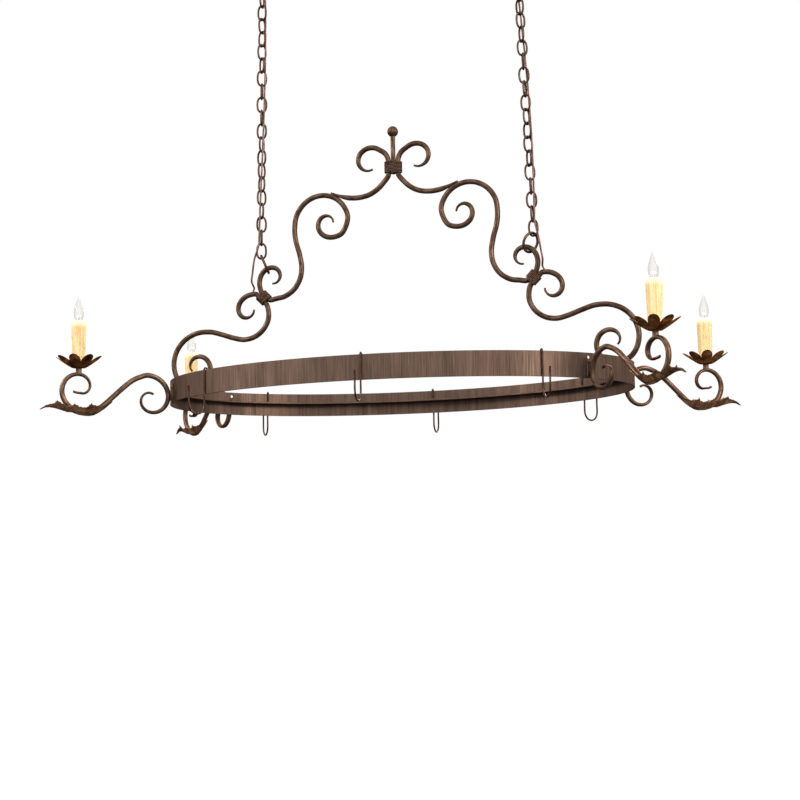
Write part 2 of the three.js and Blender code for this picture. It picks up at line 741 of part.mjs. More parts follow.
// A hook of round wire: tail inside the band, over its top edge, down its outer face, and a J turned out.
function hookPath() {
  const radius = HOOK_WIRE / 2;
  const bend = BAND_THICK / 2 + HOOK_SLACK + radius;
  const middle = -BAND_THICK / 2;
  const stem = middle + bend;
  const saddle = BAND_HEIGHT - 1; // middle of the bend over the band's top edge
  const bottom = BAND_HEIGHT - HOOK_DROP + radius;
  const bowl = HOOK_GAP / 2;
  const arc = (cx, cz, r, from, to) => scroll([cx, cz], [r, r], [from, to]);
  return [
    [middle - bend, BAND_HEIGHT - HOOK_TAIL],
    [middle - bend, BAND_HEIGHT - HOOK_TAIL / 2],
    ...arc(middle, saddle, bend, 180, 0),
    [stem, BAND_HEIGHT - 12],
    [stem, bottom + bowl + 18],
    ...arc(stem + bowl, bottom + bowl, bowl, 180, 360),
    [stem + HOOK_GAP, bottom + HOOK_RETURN - 14],
    [stem + HOOK_GAP + 2, bottom + HOOK_RETURN - radius],
  ];
}

const potHook = (seat) =>
  sweep(hookPath().map(outwards(seat)), () => HOOK_WIRE / 2, { across: seat.along, turn: 45, sag: 1 });

// ---- chains, their rings and their ceiling loops ----
// A chain link of round wire, standing up in the XZ plane round its own middle. A ridge of its section
// faces inwards, where links bear on each other.
function linkGeometry() {
  const half = (LINK_LENGTH - LINK_WIDTH) / 2;
  const radius = (LINK_WIDTH - LINK_WIRE) / 2;
  const bendSteps = 4;
  const points = [];
  for (const end of [1, -1]) {
    for (let i = 0; i <= bendSteps; i++) {
      const angle = Math.PI * (i / bendSteps) + (end > 0 ? 0 : Math.PI);
      points.push([radius * Math.cos(angle), end * half + radius * Math.sin(angle)]);
    }
  }
  const count = points.length;
  const section = 4;
  const rings = points.map(([x, z], i) => {
    const [px, pz] = points[(i + count - 1) % count];
    const [nx, nz] = points[(i + 1) % count];
    const inward = at(-(nz - pz), 0, nx - px).normalize();
    return Array.from({ length: section }, (_, j) => {
      const angle = (2 * Math.PI * j) / section;
      return at(x, 0, z)
        .addScaledVector(inward, (LINK_WIRE / 2) * Math.cos(angle))
        .addScaledVector(BACK, (LINK_WIRE / 2) * Math.sin(angle));
    });
  });
  return skin(rings, true);
}

const PRESSED = 0.35; // how far two links of a run bear into each other
const loosePitch = LINK_LENGTH - 2 * LINK_WIRE - CLEAR;
const tightPitch = LINK_LENGTH - 2 * LINK_WIRE + PRESSED;
const LINK_COUNT = Math.floor((CEILING_HEIGHT - KNOT_HEIGHT - CHAIN_ENDS) / tightPitch); // the top link included

// The middle of a scroll's bar where it passes an angle round the scroll's centre.
function placeOnScroll(points, [x, z], angle, sign) {
  const curve = new THREE.CatmullRomCurve3(points.map(archPoint(1)), false, "centripetal");
  const miss = (p) => Math.abs(THREE.MathUtils.radToDeg(Math.atan2(p.z - z, p.x - x)) - angle);
  const place = curve.getPoints(400).reduce((best, p) => (miss(p) < miss(best) ? p : best));
  return at(sign * place.x, 0, place.z);
}

// Where the arch's curl bears on a chain's ring, how the ring lies, and where the last link pulls on it.
function ringSeat({ sign, seatAngle, ringLean, ringTurn }) {
  const bearing = placeOnScroll(seatCurl(), curlCentre, seatAngle, sign);
  const axis = at(sign * Math.sin(radians(ringLean)), 0, Math.cos(radians(ringLean)));
  const level = at(Math.cos(radians(ringTurn)), Math.sin(radians(ringTurn)), 0);
  const across = axis.clone().cross(level).normalize();
  const barAlong = at(-sign * Math.sin(radians(seatAngle)), 0, Math.cos(radians(seatAngle)));
  const slant = Math.abs(level.clone().cross(barAlong).normalize().dot(axis));
  const belowBar = (CHAIN_RING_WIRE / 2 + BAR_RADIUS) / slant;
  const half = (CHAIN_RING_LENGTH - CHAIN_RING_WIRE) / 2;
  const centre = bearing.clone().addScaledVector(axis, half - belowBar);
  const foot = centre.clone().addScaledVector(axis, half);
  foot.z -= CHAIN_RING_WIRE / 2 + CHAIN_RING_SLACK + LINK_WIRE / 2;
  return { centre, axis, across, half, foot };
}

// Where every link of a chain is: its middle and its turn about the chain, whose length sets its head.
function chainLinks(side) {
  const { foot } = ringSeat(side);
  const rest = LINK_LENGTH / 2 - LINK_WIRE / 2;
  const reach = 2 * rest + loosePitch + (LINK_COUNT - 2) * tightPitch;
  const sideways = side.sign * side.chainHead - foot.x;
  const up = at(sideways, 0, Math.sqrt(reach * reach - sideways * sideways)).normalize();
  const head = foot.clone().addScaledVector(up, reach);
  const half = Math.round((LINK_TURN * (LINK_COUNT - 1) - (side.lastLink - 90)) / 180);
  const step = (side.lastLink - 90 + 180 * half) / (LINK_COUNT - 1);
  const links = Array.from({ length: LINK_COUNT }, (_, i) => {
    const gone = rest + (i ? loosePitch + (i - 1) * tightPitch : 0);
    return { middle: head.clone().addScaledVector(up, -gone), turn: 90 + step * i, up };
  });
  return { links, step, eye: head.z - LINK_WIRE / 2 - CLEAR - EYE_WIRE / 2 };
}

function placedLink({ middle, turn, up }) {
  const geometry = linkGeometry().rotateZ(radians(turn));
  geometry.applyQuaternion(new THREE.Quaternion().setFromUnitVectors(UP, up));
  return geometry.translate(middle.x, middle.y, middle.z);
}

function chainRing(side) {
  const { centre, axis, across, half } = ringSeat(side);
  const wide = across.clone().cross(axis);
  const halfWidth = (CHAIN_RING_WIDTH - CHAIN_RING_WIRE) / 2;
  const steps = 16;
  const path = Array.from({ length: steps }, (_, i) => {
    const angle = (2 * Math.PI * i) / steps;
    return centre
      .clone()
      .addScaledVector(wide, halfWidth * Math.cos(angle))
      .addScaledVector(axis, half * Math.sin(angle));
  });
  return sweep(path, () => CHAIN_RING_WIRE / 2, { across, turn: 22, closed: true });
}

const canopyBottom = CEILING_HEIGHT - CANOPY_DEPTH;

// Eye, collar under the canopy, and the threaded stem that goes up into the canopy's bar.
function hangingLoop(side) {
  const x = side.sign * side.chainHead;
  const eyeHeight = chainLinks(side).eye;
  const eyeTop = eyeHeight + 2 * EYE_RADIUS;
  const profile = [
    [0, eyeTop],
    [STEM_RADIUS, eyeTop],
    [STEM_RADIUS, canopyBottom - 6],
    [COLLAR_RADIUS, canopyBottom - 6],
    [COLLAR_RADIUS, canopyBottom - CLEAR],
    [STEM_RADIUS, canopyBottom - CLEAR],
    [STEM_RADIUS, CEILING_HEIGHT - 0.5],
    [0, CEILING_HEIGHT - 0.5],
  ].map(([radius, height]) => new THREE.Vector2(radius, height));
  const stem = upright(new THREE.LatheGeometry(profile, 8)).translate(x, 0, 0);
  const steps = 12;
  const eye = Array.from({ length: steps }, (_, i) => {
    const angle = (2 * Math.PI * i) / steps;
    return at(x + EYE_RADIUS * Math.cos(angle), 0, eyeHeight + EYE_RADIUS * (1 + Math.sin(angle)));
  });
  return join(stem, sweep(eye, () => EYE_WIRE / 2, { turn: 29, closed: true }));
}

// A dished cover with a hole for the loop's stem and one that lets the lamp cord in.
function ceilingCanopy(side) {
  const drop = [
    [1, 0],
    [0.97, 0.3],
    [0.78, 0.64],
    [0.48, 0.88],
    [0.3, 1],
  ];
  const outer = drop.map(([r, d]) => [CANOPY_RADIUS * r, CEILING_HEIGHT - CANOPY_DEPTH * d]);
  const inner = drop.map(([r, d]) => [
    CANOPY_RADIUS * r - CANOPY_WALL,
    CEILING_HEIGHT - Math.min(CANOPY_DEPTH * d, CANOPY_DEPTH - CANOPY_WALL),
  ]);
  const hole = STEM_RADIUS + 2 * CLEAR;
  const profile = [
    ...inner,
    [hole, canopyBottom + CANOPY_WALL],
    [hole, canopyBottom],
    ...outer.reverse(),
    inner[0],
  ].map(([radius, height]) => new THREE.Vector2(radius, height));
  const shell = upright(new THREE.LatheGeometry(profile, 14));
  const way = upright(new THREE.CylinderGeometry(CORD_WAY_RADIUS, CORD_WAY_RADIUS, 30, 10));
  const turned = radians(cordTurnAt(side, 0));
  way.translate(CORD_WAY_OUT * Math.cos(turned), CORD_WAY_OUT * Math.sin(turned), canopyBottom);
  return cut(shell, way).translate(side.sign * side.chainHead, 0, 0);
}

const CANOPY_BAR_WIDTH = 20;
const CANOPY_BAR_THICK = 3;
function canopyBar({ sign, chainHead }) {
  const inside = CANOPY_RADIUS - CANOPY_WALL - 2 * CLEAR;
  const half = Math.sqrt(inside * inside - (CANOPY_BAR_WIDTH / 2) ** 2) - 2;
  const bar = new THREE.BoxGeometry(2 * half, CANOPY_BAR_WIDTH, CANOPY_BAR_THICK);
  const bore = STEM_RADIUS + 2 * CLEAR;
  const tapped = upright(new THREE.CylinderGeometry(bore, bore, 20, 8));
  return cut(bar, tapped).translate(sign * chainHead, 0, CEILING_HEIGHT - CANOPY_BAR_THICK / 2);
}

// ---- the lamp cords ----
// Beside the crossing under each link there is room for a cord between the planes of the two links.
// That gap turns steadily about the chain, and the cord with it.
const LAST_CROSSING = LINK_COUNT - 2;
const cordTurnAt = (side, link) => side.cordTurn - (chainLinks(side).step + 90) * (LAST_CROSSING - link);

// From inside the canopy down beside the loop, along the chain, and in front of the curl to the arch.
function lampCord(side) {
  const { links, eye } = chainLinks(side);
  const beside = (middle, along, link, out) => {
    const turned = radians(cordTurnAt(side, link));
    return middle
      .clone()
      .addScaledVector(links[0].up, along)
      .add(at(out * Math.cos(turned), out * Math.sin(turned), 0));
  };
  const x = side.sign * side.chainHead;
  const path = [
    beside(at(x, 0, CEILING_HEIGHT - 12), 0, 0, CORD_WAY_OUT),
    beside(at(x, 0, canopyBottom), 0, 0, CORD_WAY_OUT - 0.5),
    beside(at(x, 0, eye + 16), 0, 0, CORD_OUT + 5),
    beside(at(x, 0, eye), 0, 0, CORD_OUT),
  ];
  for (let i = 0; i <= LAST_CROSSING; i++) {
    path.push(beside(links[i].middle, 0, i - 0.5, CORD_OUT));
    path.push(beside(links[i].middle, -tightPitch / 2, i, CORD_OUT));
  }
  const outerCurl = footBarPath().slice(0, tipCurl().length + 2);
  const bar = placeOnScroll(outerCurl, tipCentre, side.cordEnd, side.sign);
  const outOfCurl = at(side.sign * Math.cos(radians(side.cordEnd)), 0, Math.sin(radians(side.cordEnd)));
  const end = bar.clone().addScaledVector(outOfCurl, BAR_RADIUS + 4 * CLEAR);
  const front = BAR_RADIUS + CORD_DIAMETER / 2 + 2.5 * CLEAR;
  path.push(at(end.x - side.sign * 9, -front - 2, end.z + 80));
  path.push(at(end.x - side.sign * 4, -front - 1.5, end.z + 48));
  path.push(at(end.x - side.sign * 0.5, -front, end.z + 24));
  path.push(end.clone().addScaledVector(outOfCurl, 9), end.clone().addScaledVector(outOfCurl, 4), end);
  return sweep(path, () => CORD_DIAMETER / 2, { sides: 8, turn: 16, sag: 0.7 });
}

// ---- the assembly ----
const rack = new THREE.Group();

function add(name, geometry, material) {
  const mesh = new THREE.Mesh(geometry, material);
  mesh.name = name;
  rack.add(mesh);
  return mesh;
}

add("ring_band", ringBand(), iron);
add("ring_ledge", ringLedge(), iron);

add("crown_finial", crownFinial(), iron);
const crownBinding = add("crown_binding", bindingWire(barSpread, Math.max(BAR_RADIUS, ROD_RADIUS), CROWN_TURNS), iron);
crownBinding.position.set(0, 0, CROWN_HEIGHT);

for (const [name, side] of Object.entries(sides)) {
  add(`centre_scroll_${name}`, archBar(centreBarPath(), side.sign), iron);
  add(`shoulder_scroll_${name}`, archBar(shoulderBarPath(), side.sign), iron);
  add(`foot_scroll_${name}`, archBar(footBarPath(), side.sign), iron);

  const knot = add(`side_binding_${name}`, bindingWire(knotSpread, BAR_RADIUS, KNOT_TURNS), iron);
  knot.rotation.y = side.sign * radians(90 - KNOT_TILT);
  knot.position.set(side.sign * KNOT_OUT, 0, KNOT_HEIGHT);

  const links = chainLinks(side).links.map(placedLink);
  add(`chain_ring_${name}`, chainRing(side), iron);
  add(`chain_${name}`, join(...links.slice(1)), iron);
  add(`top_link_${name}`, links[0], iron);
  add(`hanging_loop_${name}`, hangingLoop(side), iron);
  add(`ceiling_canopy_${name}`, ceilingCanopy(side), iron);
  add(`canopy_bar_${name}`, canopyBar(side), zinc);
  add(`lamp_cord_${name}`, lampCord(side), cordSleeve);
}

for (const [name, place] of Object.entries(armPlaces)) {
  const seat = seatAt(place);
  add(`lamp_arm_${name}`, lampArm(seat), iron);
  add(`arm_bolt_${name}`, armBolt(seat), darkIron);
  add(`leaf_${name}`, leafTrough(seat), darkIron);
  add(`drip_pan_${name}`, dripPan(seat), darkIron);
  add(`lamp_socket_${name}`, lampSocket(seat), porcelain);
  add(`candle_sleeve_${name}`, candleSleeve(seat), wax);
  add(`flame_bulb_${name}`, flameBulb(seat), glass);
}

for (const [name, place] of Object.entries(hookPlaces)) {
  add(`pot_hook_${name}`, potHook(slideSeatAt(place)), darkIron);
}

rack.position.z = -CEILING_HEIGHT;

export default new THREE.Group().add(rack);
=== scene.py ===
# %% [markdown]
# # A hanging pot rack with four candle lamps
# The real rack is forged iron: a flat oval band on two chains, under an arch of round bar bent into scrolls.
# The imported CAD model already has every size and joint. This lesson dresses it: each faceted solid is replaced
# by a smooth, finer piece on the very same path, so nothing moves and nothing changes size.

# %% Tools and the fixed frame
import json
import math

import bmesh
import bpy
import numpy as np
from mathutils import Matrix, Quaternion, Vector

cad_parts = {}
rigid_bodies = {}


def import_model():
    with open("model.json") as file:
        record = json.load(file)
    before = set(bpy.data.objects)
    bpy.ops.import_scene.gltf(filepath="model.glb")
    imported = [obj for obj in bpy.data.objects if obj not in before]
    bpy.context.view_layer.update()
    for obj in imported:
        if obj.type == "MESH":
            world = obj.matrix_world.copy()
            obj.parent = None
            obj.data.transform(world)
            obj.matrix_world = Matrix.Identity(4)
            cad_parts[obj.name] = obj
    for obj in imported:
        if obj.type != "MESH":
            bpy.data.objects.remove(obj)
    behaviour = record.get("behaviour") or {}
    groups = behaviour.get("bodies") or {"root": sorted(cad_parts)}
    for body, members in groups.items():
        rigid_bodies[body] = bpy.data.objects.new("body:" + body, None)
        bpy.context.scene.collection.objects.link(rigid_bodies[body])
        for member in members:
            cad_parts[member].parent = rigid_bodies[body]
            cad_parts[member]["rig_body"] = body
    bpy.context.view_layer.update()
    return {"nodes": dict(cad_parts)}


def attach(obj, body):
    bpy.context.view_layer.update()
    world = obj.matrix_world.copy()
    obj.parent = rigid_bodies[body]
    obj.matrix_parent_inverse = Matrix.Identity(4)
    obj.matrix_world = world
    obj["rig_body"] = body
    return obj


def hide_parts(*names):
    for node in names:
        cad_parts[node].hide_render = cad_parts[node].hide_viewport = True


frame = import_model()

# %% [markdown]
# ## Millimetres, and the ceiling
# A smith measures the rack from the middle of its ring and the band's lower edge, in millimetres. Blender
# works in metres, with the origin on the ceiling, 1150 mm higher. One function takes points from one to the other,
# and every piece below is drawn in the smith's numbers.

# %% From the smith's millimetres to metres under the ceiling
CEILING_HEIGHT = 1150.0


def to_metres(points):
    return (np.asarray(points, float).reshape(-1, 3) - (0, 0, CEILING_HEIGHT)) / 1000


def turn(degrees):
    return math.radians(degrees)


print("middle of the ring at", to_metres((0, 0, 0))[0])

# %% [markdown]
# ## The camera
# The picture was taken from a little right of the middle and from below the ring, looking slightly up, with a
# long lens.

# %% The camera
CAMERA_PLACE, CAMERA_LOOK = (1.5148, -4.3359, -1.6613), (-0.32643, 0.93886, 0.10948)
CAMERA_LENS, CAMERA_ROLL, SEES_TO = 82.89, -0.0172, 200

camera_data = bpy.data.cameras.new("photo_camera")
camera_data.sensor_width = 36
camera_data.lens = CAMERA_LENS
camera_data.clip_end = SEES_TO
camera = bpy.data.objects.new("photo_camera", camera_data)
forward = Vector(CAMERA_LOOK).normalized()
level = forward.cross(Vector((0, 0, 1))).normalized()
right = level * math.cos(CAMERA_ROLL) + level.cross(forward) * math.sin(CAMERA_ROLL)
above = right.cross(forward)
rows = [(right[k], above[k], -forward[k], CAMERA_PLACE[k]) for k in range(3)]
camera.matrix_world = Matrix((*rows, (0, 0, 0, 1)))
bpy.context.scene.collection.objects.link(camera)
bpy.context.scene.camera = camera
print("camera at", [round(c, 3) for c in camera.matrix_world.translation])

# %% [markdown]
# ## A smooth line through a few points
# A bent bar has no corners, so a path of a few measured points is joined by a Catmull-Rom curve, which passes
# through each of them. The centripetal kind is used here, because it never loops or overshoots where points lie
# close together, as they do in the eye of a scroll.


# %% A curve through points
def spline(points, closed=False, steps=16):
    points = [np.asarray(p, float) for p in points]
    count = len(points)
    line = []
    for i in range(count if closed else count - 1):
        p1, p2 = points[i], points[(i + 1) % count]
        p0 = points[i - 1] if closed or i else 2 * p1 - p2
        p3 = points[(i + 2) % count] if closed or i + 2 < count else 2 * p2 - p1
        d0, d1, d2 = (max(np.linalg.norm(b - a), 1e-6) ** 0.5 for a, b in ((p0, p1), (p1, p2), (p2, p3)))
        t1 = ((p1 - p0) / d0 - (p2 - p0) / (d0 + d1) + (p2 - p1) / d1) * d1
        t2 = ((p2 - p1) / d1 - (p3 - p1) / (d1 + d2) + (p3 - p2) / d2) * d1
        for k in range(steps):
            u = k / steps
            a, b = 2 * u**3 - 3 * u**2 + 1, u**3 - 2 * u**2 + u
            line.append(a * p1 + b * t1 + (1 - a) * p2 + (u**3 - u**2) * t2)
    line.append(points[0] if closed else points[-1])
    return np.array(line)


def evenly(line, step):
    gone = np.concatenate([[0], np.cumsum(np.linalg.norm(np.diff(line, axis=0), axis=1))])
    count = max(4, round(gone[-1] / step))
    places = np.linspace(0, gone[-1], count + 1)
    return np.column_stack([np.interp(places, gone, line[:, k]) for k in range(3)]), places


SCROLL_STEP = 26  # degrees from one point of a scroll to the next


def scroll(centre, radii, angles, grow=1.0):
    count = max(2, round(abs(angles[1] - angles[0]) / SCROLL_STEP))
    shares = np.arange(count + 1) / count
    radius = radii[0] + (radii[1] - radii[0]) * shares**grow
    angle = np.radians(angles[0] + (angles[1] - angles[0]) * shares)
    return list(zip(centre[0] + radius * np.cos(angle), centre[1] + radius * np.sin(angle)))


print("a scroll of one turn has", len(scroll((0, 0), (10, 50), (0, 360))), "points")

# %% [markdown]
# ## Skinning rings of points into a mesh
# Nearly everything on the rack is a row of outlines with a skin over them: a bar is a row of circles, a bulb is a
# row of rings of changing size. Curves with a bevel could do the bars, but not the leaves or petals, so one mesh
# function does them all. It also lays a UV map, around and along in metres, which later lets brush strokes
# follow a bar round its bends.


# %% The skin, and a mesh object from it
def skin(rings, closed=False):
    rings = np.asarray(rings, float)
    rows, cols = rings.shape[:2]
    middles = rings.mean(axis=1)
    gone = np.concatenate([[0], np.cumsum(np.linalg.norm(np.diff(middles, axis=0), axis=1))]) / 1000
    gone = np.append(gone, gone[-1] + np.linalg.norm(middles[0] - middles[-1]) / 1000)
    faces, uvs = [], []
    for i in range(rows if closed else rows - 1):
        low, high = i * cols, (i + 1) % rows * cols
        for j in range(cols):
            k = (j + 1) % cols
            faces.append((low + j, high + j, high + k, low + k))
            left, right = j / cols, (j + 1) / cols
            uvs += [(left, gone[i]), (left, gone[i + 1]), (right, gone[i + 1]), (right, gone[i])]
    if not closed:
        for row in (0, rows - 1):
            faces.append(tuple(range(row * cols, row * cols + cols)))
            uvs += [(j / cols, gone[row]) for j in range(cols)]
    return rings.reshape(-1, 3), faces, uvs


WELD_DISTANCE = 1e-7  # metres


def make_piece(name, *parts, sharp=40):
    points, faces, uvs = [], [], []
    for part_points, part_faces, part_uvs in parts:
        base = len(points)
        points += list(part_points)
        faces += [tuple(base + v for v in face) for face in part_faces]
        uvs += part_uvs
    mesh = bpy.data.meshes.new(name)
    mesh.from_pydata([tuple(p) for p in to_metres(points)], [], faces)
    mesh.uv_layers.new(name="along").data.foreach_set("uv", np.ravel(uvs))
    edit = bmesh.new()
    edit.from_mesh(mesh)
    bmesh.ops.remove_doubles(edit, verts=edit.verts, dist=WELD_DISTANCE)
    bmesh.ops.recalc_face_normals(edit, faces=edit.faces)
    edit.to_mesh(mesh)
    edit.free()
    mesh.shade_smooth()
    mesh.set_sharp_from_angle(angle=turn(sharp))
    piece = bpy.data.objects.new(name, mesh)
    bpy.context.scene.collection.objects.link(piece)
    return piece


def dress(piece, node, material):
    piece.data.materials.append(material)
    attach(piece, frame["nodes"][node]["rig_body"])
    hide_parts(node)
    return piece


print("a skin of two squares has", len(skin([[(0, 0, 0)] * 4, [(0, 0, 9)] * 4])[1]), "faces")

# %% [markdown]
# ## Round bar
# A bar is skinned over circles that stay square to its path. Its tips are drawn down on the anvil: hammered thinner
# over the last hand's width, and near the end flattened into a ribbon, which spreads them across the scroll. A
# ribbon is told by its length, its thickness and breadth at the end (both halved), and how far from the end its
# corners begin to be rounded off.


# %% Bars, drawn-down tips, and turned forms
BACK = (0, 1, 0)
END_ROUNDING = (0.15, 0.45)  # two smaller rings close a bar's end
POINT_BREADTH = 0.25  # what is left of a ribbon's breadth at its very end


def circle(sides):
    return 2 * np.pi * np.arange(sides) / sides


def rounded_end(ring):
    return [ring + (ring.mean(0) - ring) * share for share in END_ROUNDING]


def bar(points, radius_at, sides=14, across=BACK, closed=False, step=3.0, ribbon=None):
    line, gone = evenly(spline(points, closed), step)
    if closed:
        line, gone = line[:-1], gone[:-1]
        tangents = np.roll(line, -1, axis=0) - np.roll(line, 1, axis=0)
    else:
        tangents = np.gradient(line, axis=0)
    lean = np.array(across, float)
    angles = circle(sides)
    rings = []
    for place, middle, tangent in zip(gone, line, tangents):
        tangent = tangent / np.linalg.norm(tangent)
        lean = lean - lean.dot(tangent) * tangent
        lean = lean / np.linalg.norm(lean)
        out = np.cross(tangent, lean)
        thick = wide = radius_at(place, gone[-1] - place)
        if ribbon:
            length, thin_end, broad_end, point = ribbon
            from_tip = min(place, gone[-1] - place)
            share = max(0.0, 1 - from_tip / length)
            share = share * share * (3 - 2 * share)
            thick, wide = thick + (thin_end - thick) * share, wide + (broad_end - wide) * share
            wide *= POINT_BREADTH + (1 - POINT_BREADTH) * math.sqrt(min(1.0, from_tip / point))
        rings.append(middle + np.outer(np.cos(angles) * thick, out) + np.outer(np.sin(angles) * wide, lean))
    if not closed:
        rings = rounded_end(rings[0])[::-1] + rings + rounded_end(rings[-1])
    return skin(rings, closed)


def drawn_down(body, taper, tip):
    def radius_at(from_start, from_end):
        share = min(1.0, min(from_start, from_end) / taper)
        return tip + (body - tip) * math.sin(math.pi / 2 * share)

    return radius_at


def level_ring(centre, radius, angles, height):
    heights = np.full(len(angles), 1.0) * height
    return np.column_stack([centre[0] + radius * np.cos(angles), centre[1] + radius * np.sin(angles), heights])


def turned(profile, centre, segments, closed=False):
    return skin([level_ring(centre, r, circle(segments), z) for r, z in profile], closed)


print("a plain bar of 60 mm has", len(bar([(0, 0, 0), (30, 0, 0), (60, 0, 0)], lambda a, b: 5)[0]), "points")

# %% [markdown]
# ## Colours
# Colours are written as the sRGB hex values one reads off a screen, but light is computed in linear values, so one
# function turns one into the other. A second small function adds a shader node with its settings and links, and
# a third sets or links a node's sockets, so that each material below reads as a short list of what it is made of.


# %% Hex colours, nodes and their links
def linear(hex_colour):
    parts = [int(hex_colour[i : i + 2], 16) / 255 for i in (1, 3, 5)]
    return tuple(c / 12.92 if c <= 0.04045 else ((c + 0.055) / 1.055) ** 2.4 for c in parts) + (1.0,)


def connect(tree, node, **sockets):
    for name, value in sockets.items():
        socket = node.inputs[int(name[1:]) if name[1:].isdigit() else name.replace("_", " ")]
        if isinstance(value, bpy.types.NodeSocket):
            tree.links.new(value, socket)
        else:
            socket.default_value = value


def add_node(tree, kind, settings=None, stops=None, **sockets):
    node = tree.nodes.new("ShaderNode" + kind)
    for name, value in (settings or {}).items():
        setattr(node, name, value)
    if stops:
        while len(node.color_ramp.elements) < len(stops):
            node.color_ramp.elements.new(0.5)
        for element, (place, colour) in zip(node.color_ramp.elements, stops):
            element.position, element.color = place, linear(colour)
    connect(tree, node, **sockets)
    return node


def new_material(name):
    material = bpy.data.materials.new(name)
    material.use_nodes = True
    tree = material.node_tree
    tree.nodes.clear()
    surface = add_node(tree, "BsdfPrincipled")
    add_node(tree, "OutputMaterial", Surface=surface.outputs["BSDF"])
    return material, tree, surface


print("mid iron brown is", [round(c, 3) for c in linear("#6b5548")[:3]])

# %% [markdown]
# ## Forged iron, brushed with a brown patina
# Mild steel bar, heated, bent and hammered, then coated in dark brown and dry-brushed with a thin copper brown that
# catches on the high places. To the eye it is a satin brown metal with fine streaks along the bar, darker in
# patches. The lamp arms get a lighter copy of the same finish, which is painted light: they stand nearer the light
# and catch more of it than the arch does. The real brush marks are about half a millimetre wide, too fine for this
# picture, so they are drawn about 2 mm wide and 25 mm long. Hammer facets show only as soft waves, 12 mm across.
# The coat reflects less than bare steel does, and in brown.

# %% The bars' finish
COAT_SHINE, COAT_GLINT = 0.25, linear("#b08c76")
FORGED_BROWNS = {
    "patina_forged_iron": [
        (0.3, "#2b1d14"), (0.44, "#4b392d"), (0.55, "#645044"), (0.66, "#7d695d"), (0.8, "#9a8375"),
    ],
    # painted light: the same browns made lighter for the lamp arms, for the extra light that falls on them
    "rubbed_forged_iron": [
        (0.3, "#352419"), (0.44, "#5b4536"), (0.55, "#796152"), (0.66, "#977f70"), (0.8, "#b99e8d"),
    ],
}
for finish, stops in FORGED_BROWNS.items():
    material, tree, surface = new_material(finish)
    along_bar = add_node(tree, "UVMap", {"uv_map": "along"})
    stroke_space = add_node(tree, "Mapping", Vector=along_bar.outputs["UV"], Scale=(9, 40, 1))
    strokes = add_node(tree, "TexNoise", Vector=stroke_space.outputs[0], Scale=1.0, Detail=4.0, Roughness=0.6)
    where = add_node(tree, "TexCoord").outputs["Object"]
    patches = add_node(tree, "TexNoise", Vector=where, Scale=28.0, Detail=5.0, Roughness=0.62)
    waves = add_node(tree, "TexNoise", Vector=where, Scale=85.0, Detail=2.0)
    both = add_node(
        tree, "Mix", {"data_type": "FLOAT"}, _0=0.3, _2=strokes.outputs["Fac"], _3=patches.outputs["Fac"]
    ).outputs[0]
    brown = add_node(tree, "ValToRGB", stops=stops, Fac=both)
    satin = add_node(tree, "MapRange", Value=both, From_Min=0.3, From_Max=0.7, To_Min=0.58, To_Max=0.4)
    relief = add_node(tree, "Math", {"operation": "ADD"}, _0=waves.outputs["Fac"], _1=strokes.outputs["Fac"])
    hammered = add_node(tree, "Bump", Strength=0.2, Distance=0.0006, Height=relief.outputs[0])
    connect(tree, surface, Base_Color=brown.outputs["Color"], Roughness=satin.outputs[0], Normal=hammered.outputs[0])
    connect(tree, surface, Metallic=0.7, Specular_IOR_Level=COAT_SHINE, Specular_Tint=COAT_GLINT)
    print("material:", material.name, len(tree.nodes), "nodes")
brown_iron, painted_light_arm_iron = (bpy.data.materials[finish] for finish in FORGED_BROWNS)

# %% [markdown]
# ## The band's brushed patina
# The band and the ledge are flat bar, rolled into an oval. Here the brush went up and down across the strip, so the
# streaks stand upright: 2 to 5 mm wide, copper brown beside grey brown, with broader dark patches every hand's
# width. Stretching the noise along Z makes them, in the object's own metres.

# %% The band's finish
band_iron, tree, surface = new_material("patina_brushed_strip")
where = add_node(tree, "TexCoord").outputs["Object"]
upright_space = add_node(tree, "Mapping", Vector=where, Scale=(520, 520, 10))
streaks = add_node(tree, "TexNoise", Vector=upright_space.outputs[0], Scale=1.0, Detail=5.0, Roughness=0.65)
patch_space = add_node(tree, "Mapping", Vector=where, Scale=(34, 34, 5))
patches = add_node(tree, "TexNoise", Vector=patch_space.outputs[0], Scale=1.0, Detail=3.0, Roughness=0.5)
both = add_node(
    tree, "Mix", {"data_type": "FLOAT"}, _0=0.38, _2=streaks.outputs["Fac"], _3=patches.outputs["Fac"]
).outputs[0]
strip_browns = [(0.28, "#42342c"), (0.42, "#584840"), (0.52, "#69574d"), (0.62, "#7a6357"), (0.78, "#957a68")]
brown = add_node(tree, "ValToRGB", stops=strip_browns, Fac=both)
satin = add_node(tree, "MapRange", Value=both, From_Min=0.3, From_Max=0.7, To_Min=0.6, To_Max=0.42)
brush_marks = add_node(tree, "Bump", Strength=0.25, Distance=0.0004, Height=streaks.outputs["Fac"])
connect(tree, surface, Base_Color=brown.outputs["Color"], Roughness=satin.outputs[0], Normal=brush_marks.outputs[0])
connect(tree, surface, Metallic=0.7, Specular_IOR_Level=COAT_SHINE, Specular_Tint=COAT_GLINT)
print("material:", band_iron.name, len(tree.nodes), "nodes")

# %% [markdown]
# ## Dark sheet iron and hook wire
# Leaves, drip pans, bolts and hooks keep the dark base coat with little copper over it: sheet about a millimetre
# thick, raised with a hammer, and plain drawn wire. To the eye they are deep brown with warm glints on the edges,
# and the leaves are a shade greyer than the pans. Peen marks on the sheet are 5 mm across.

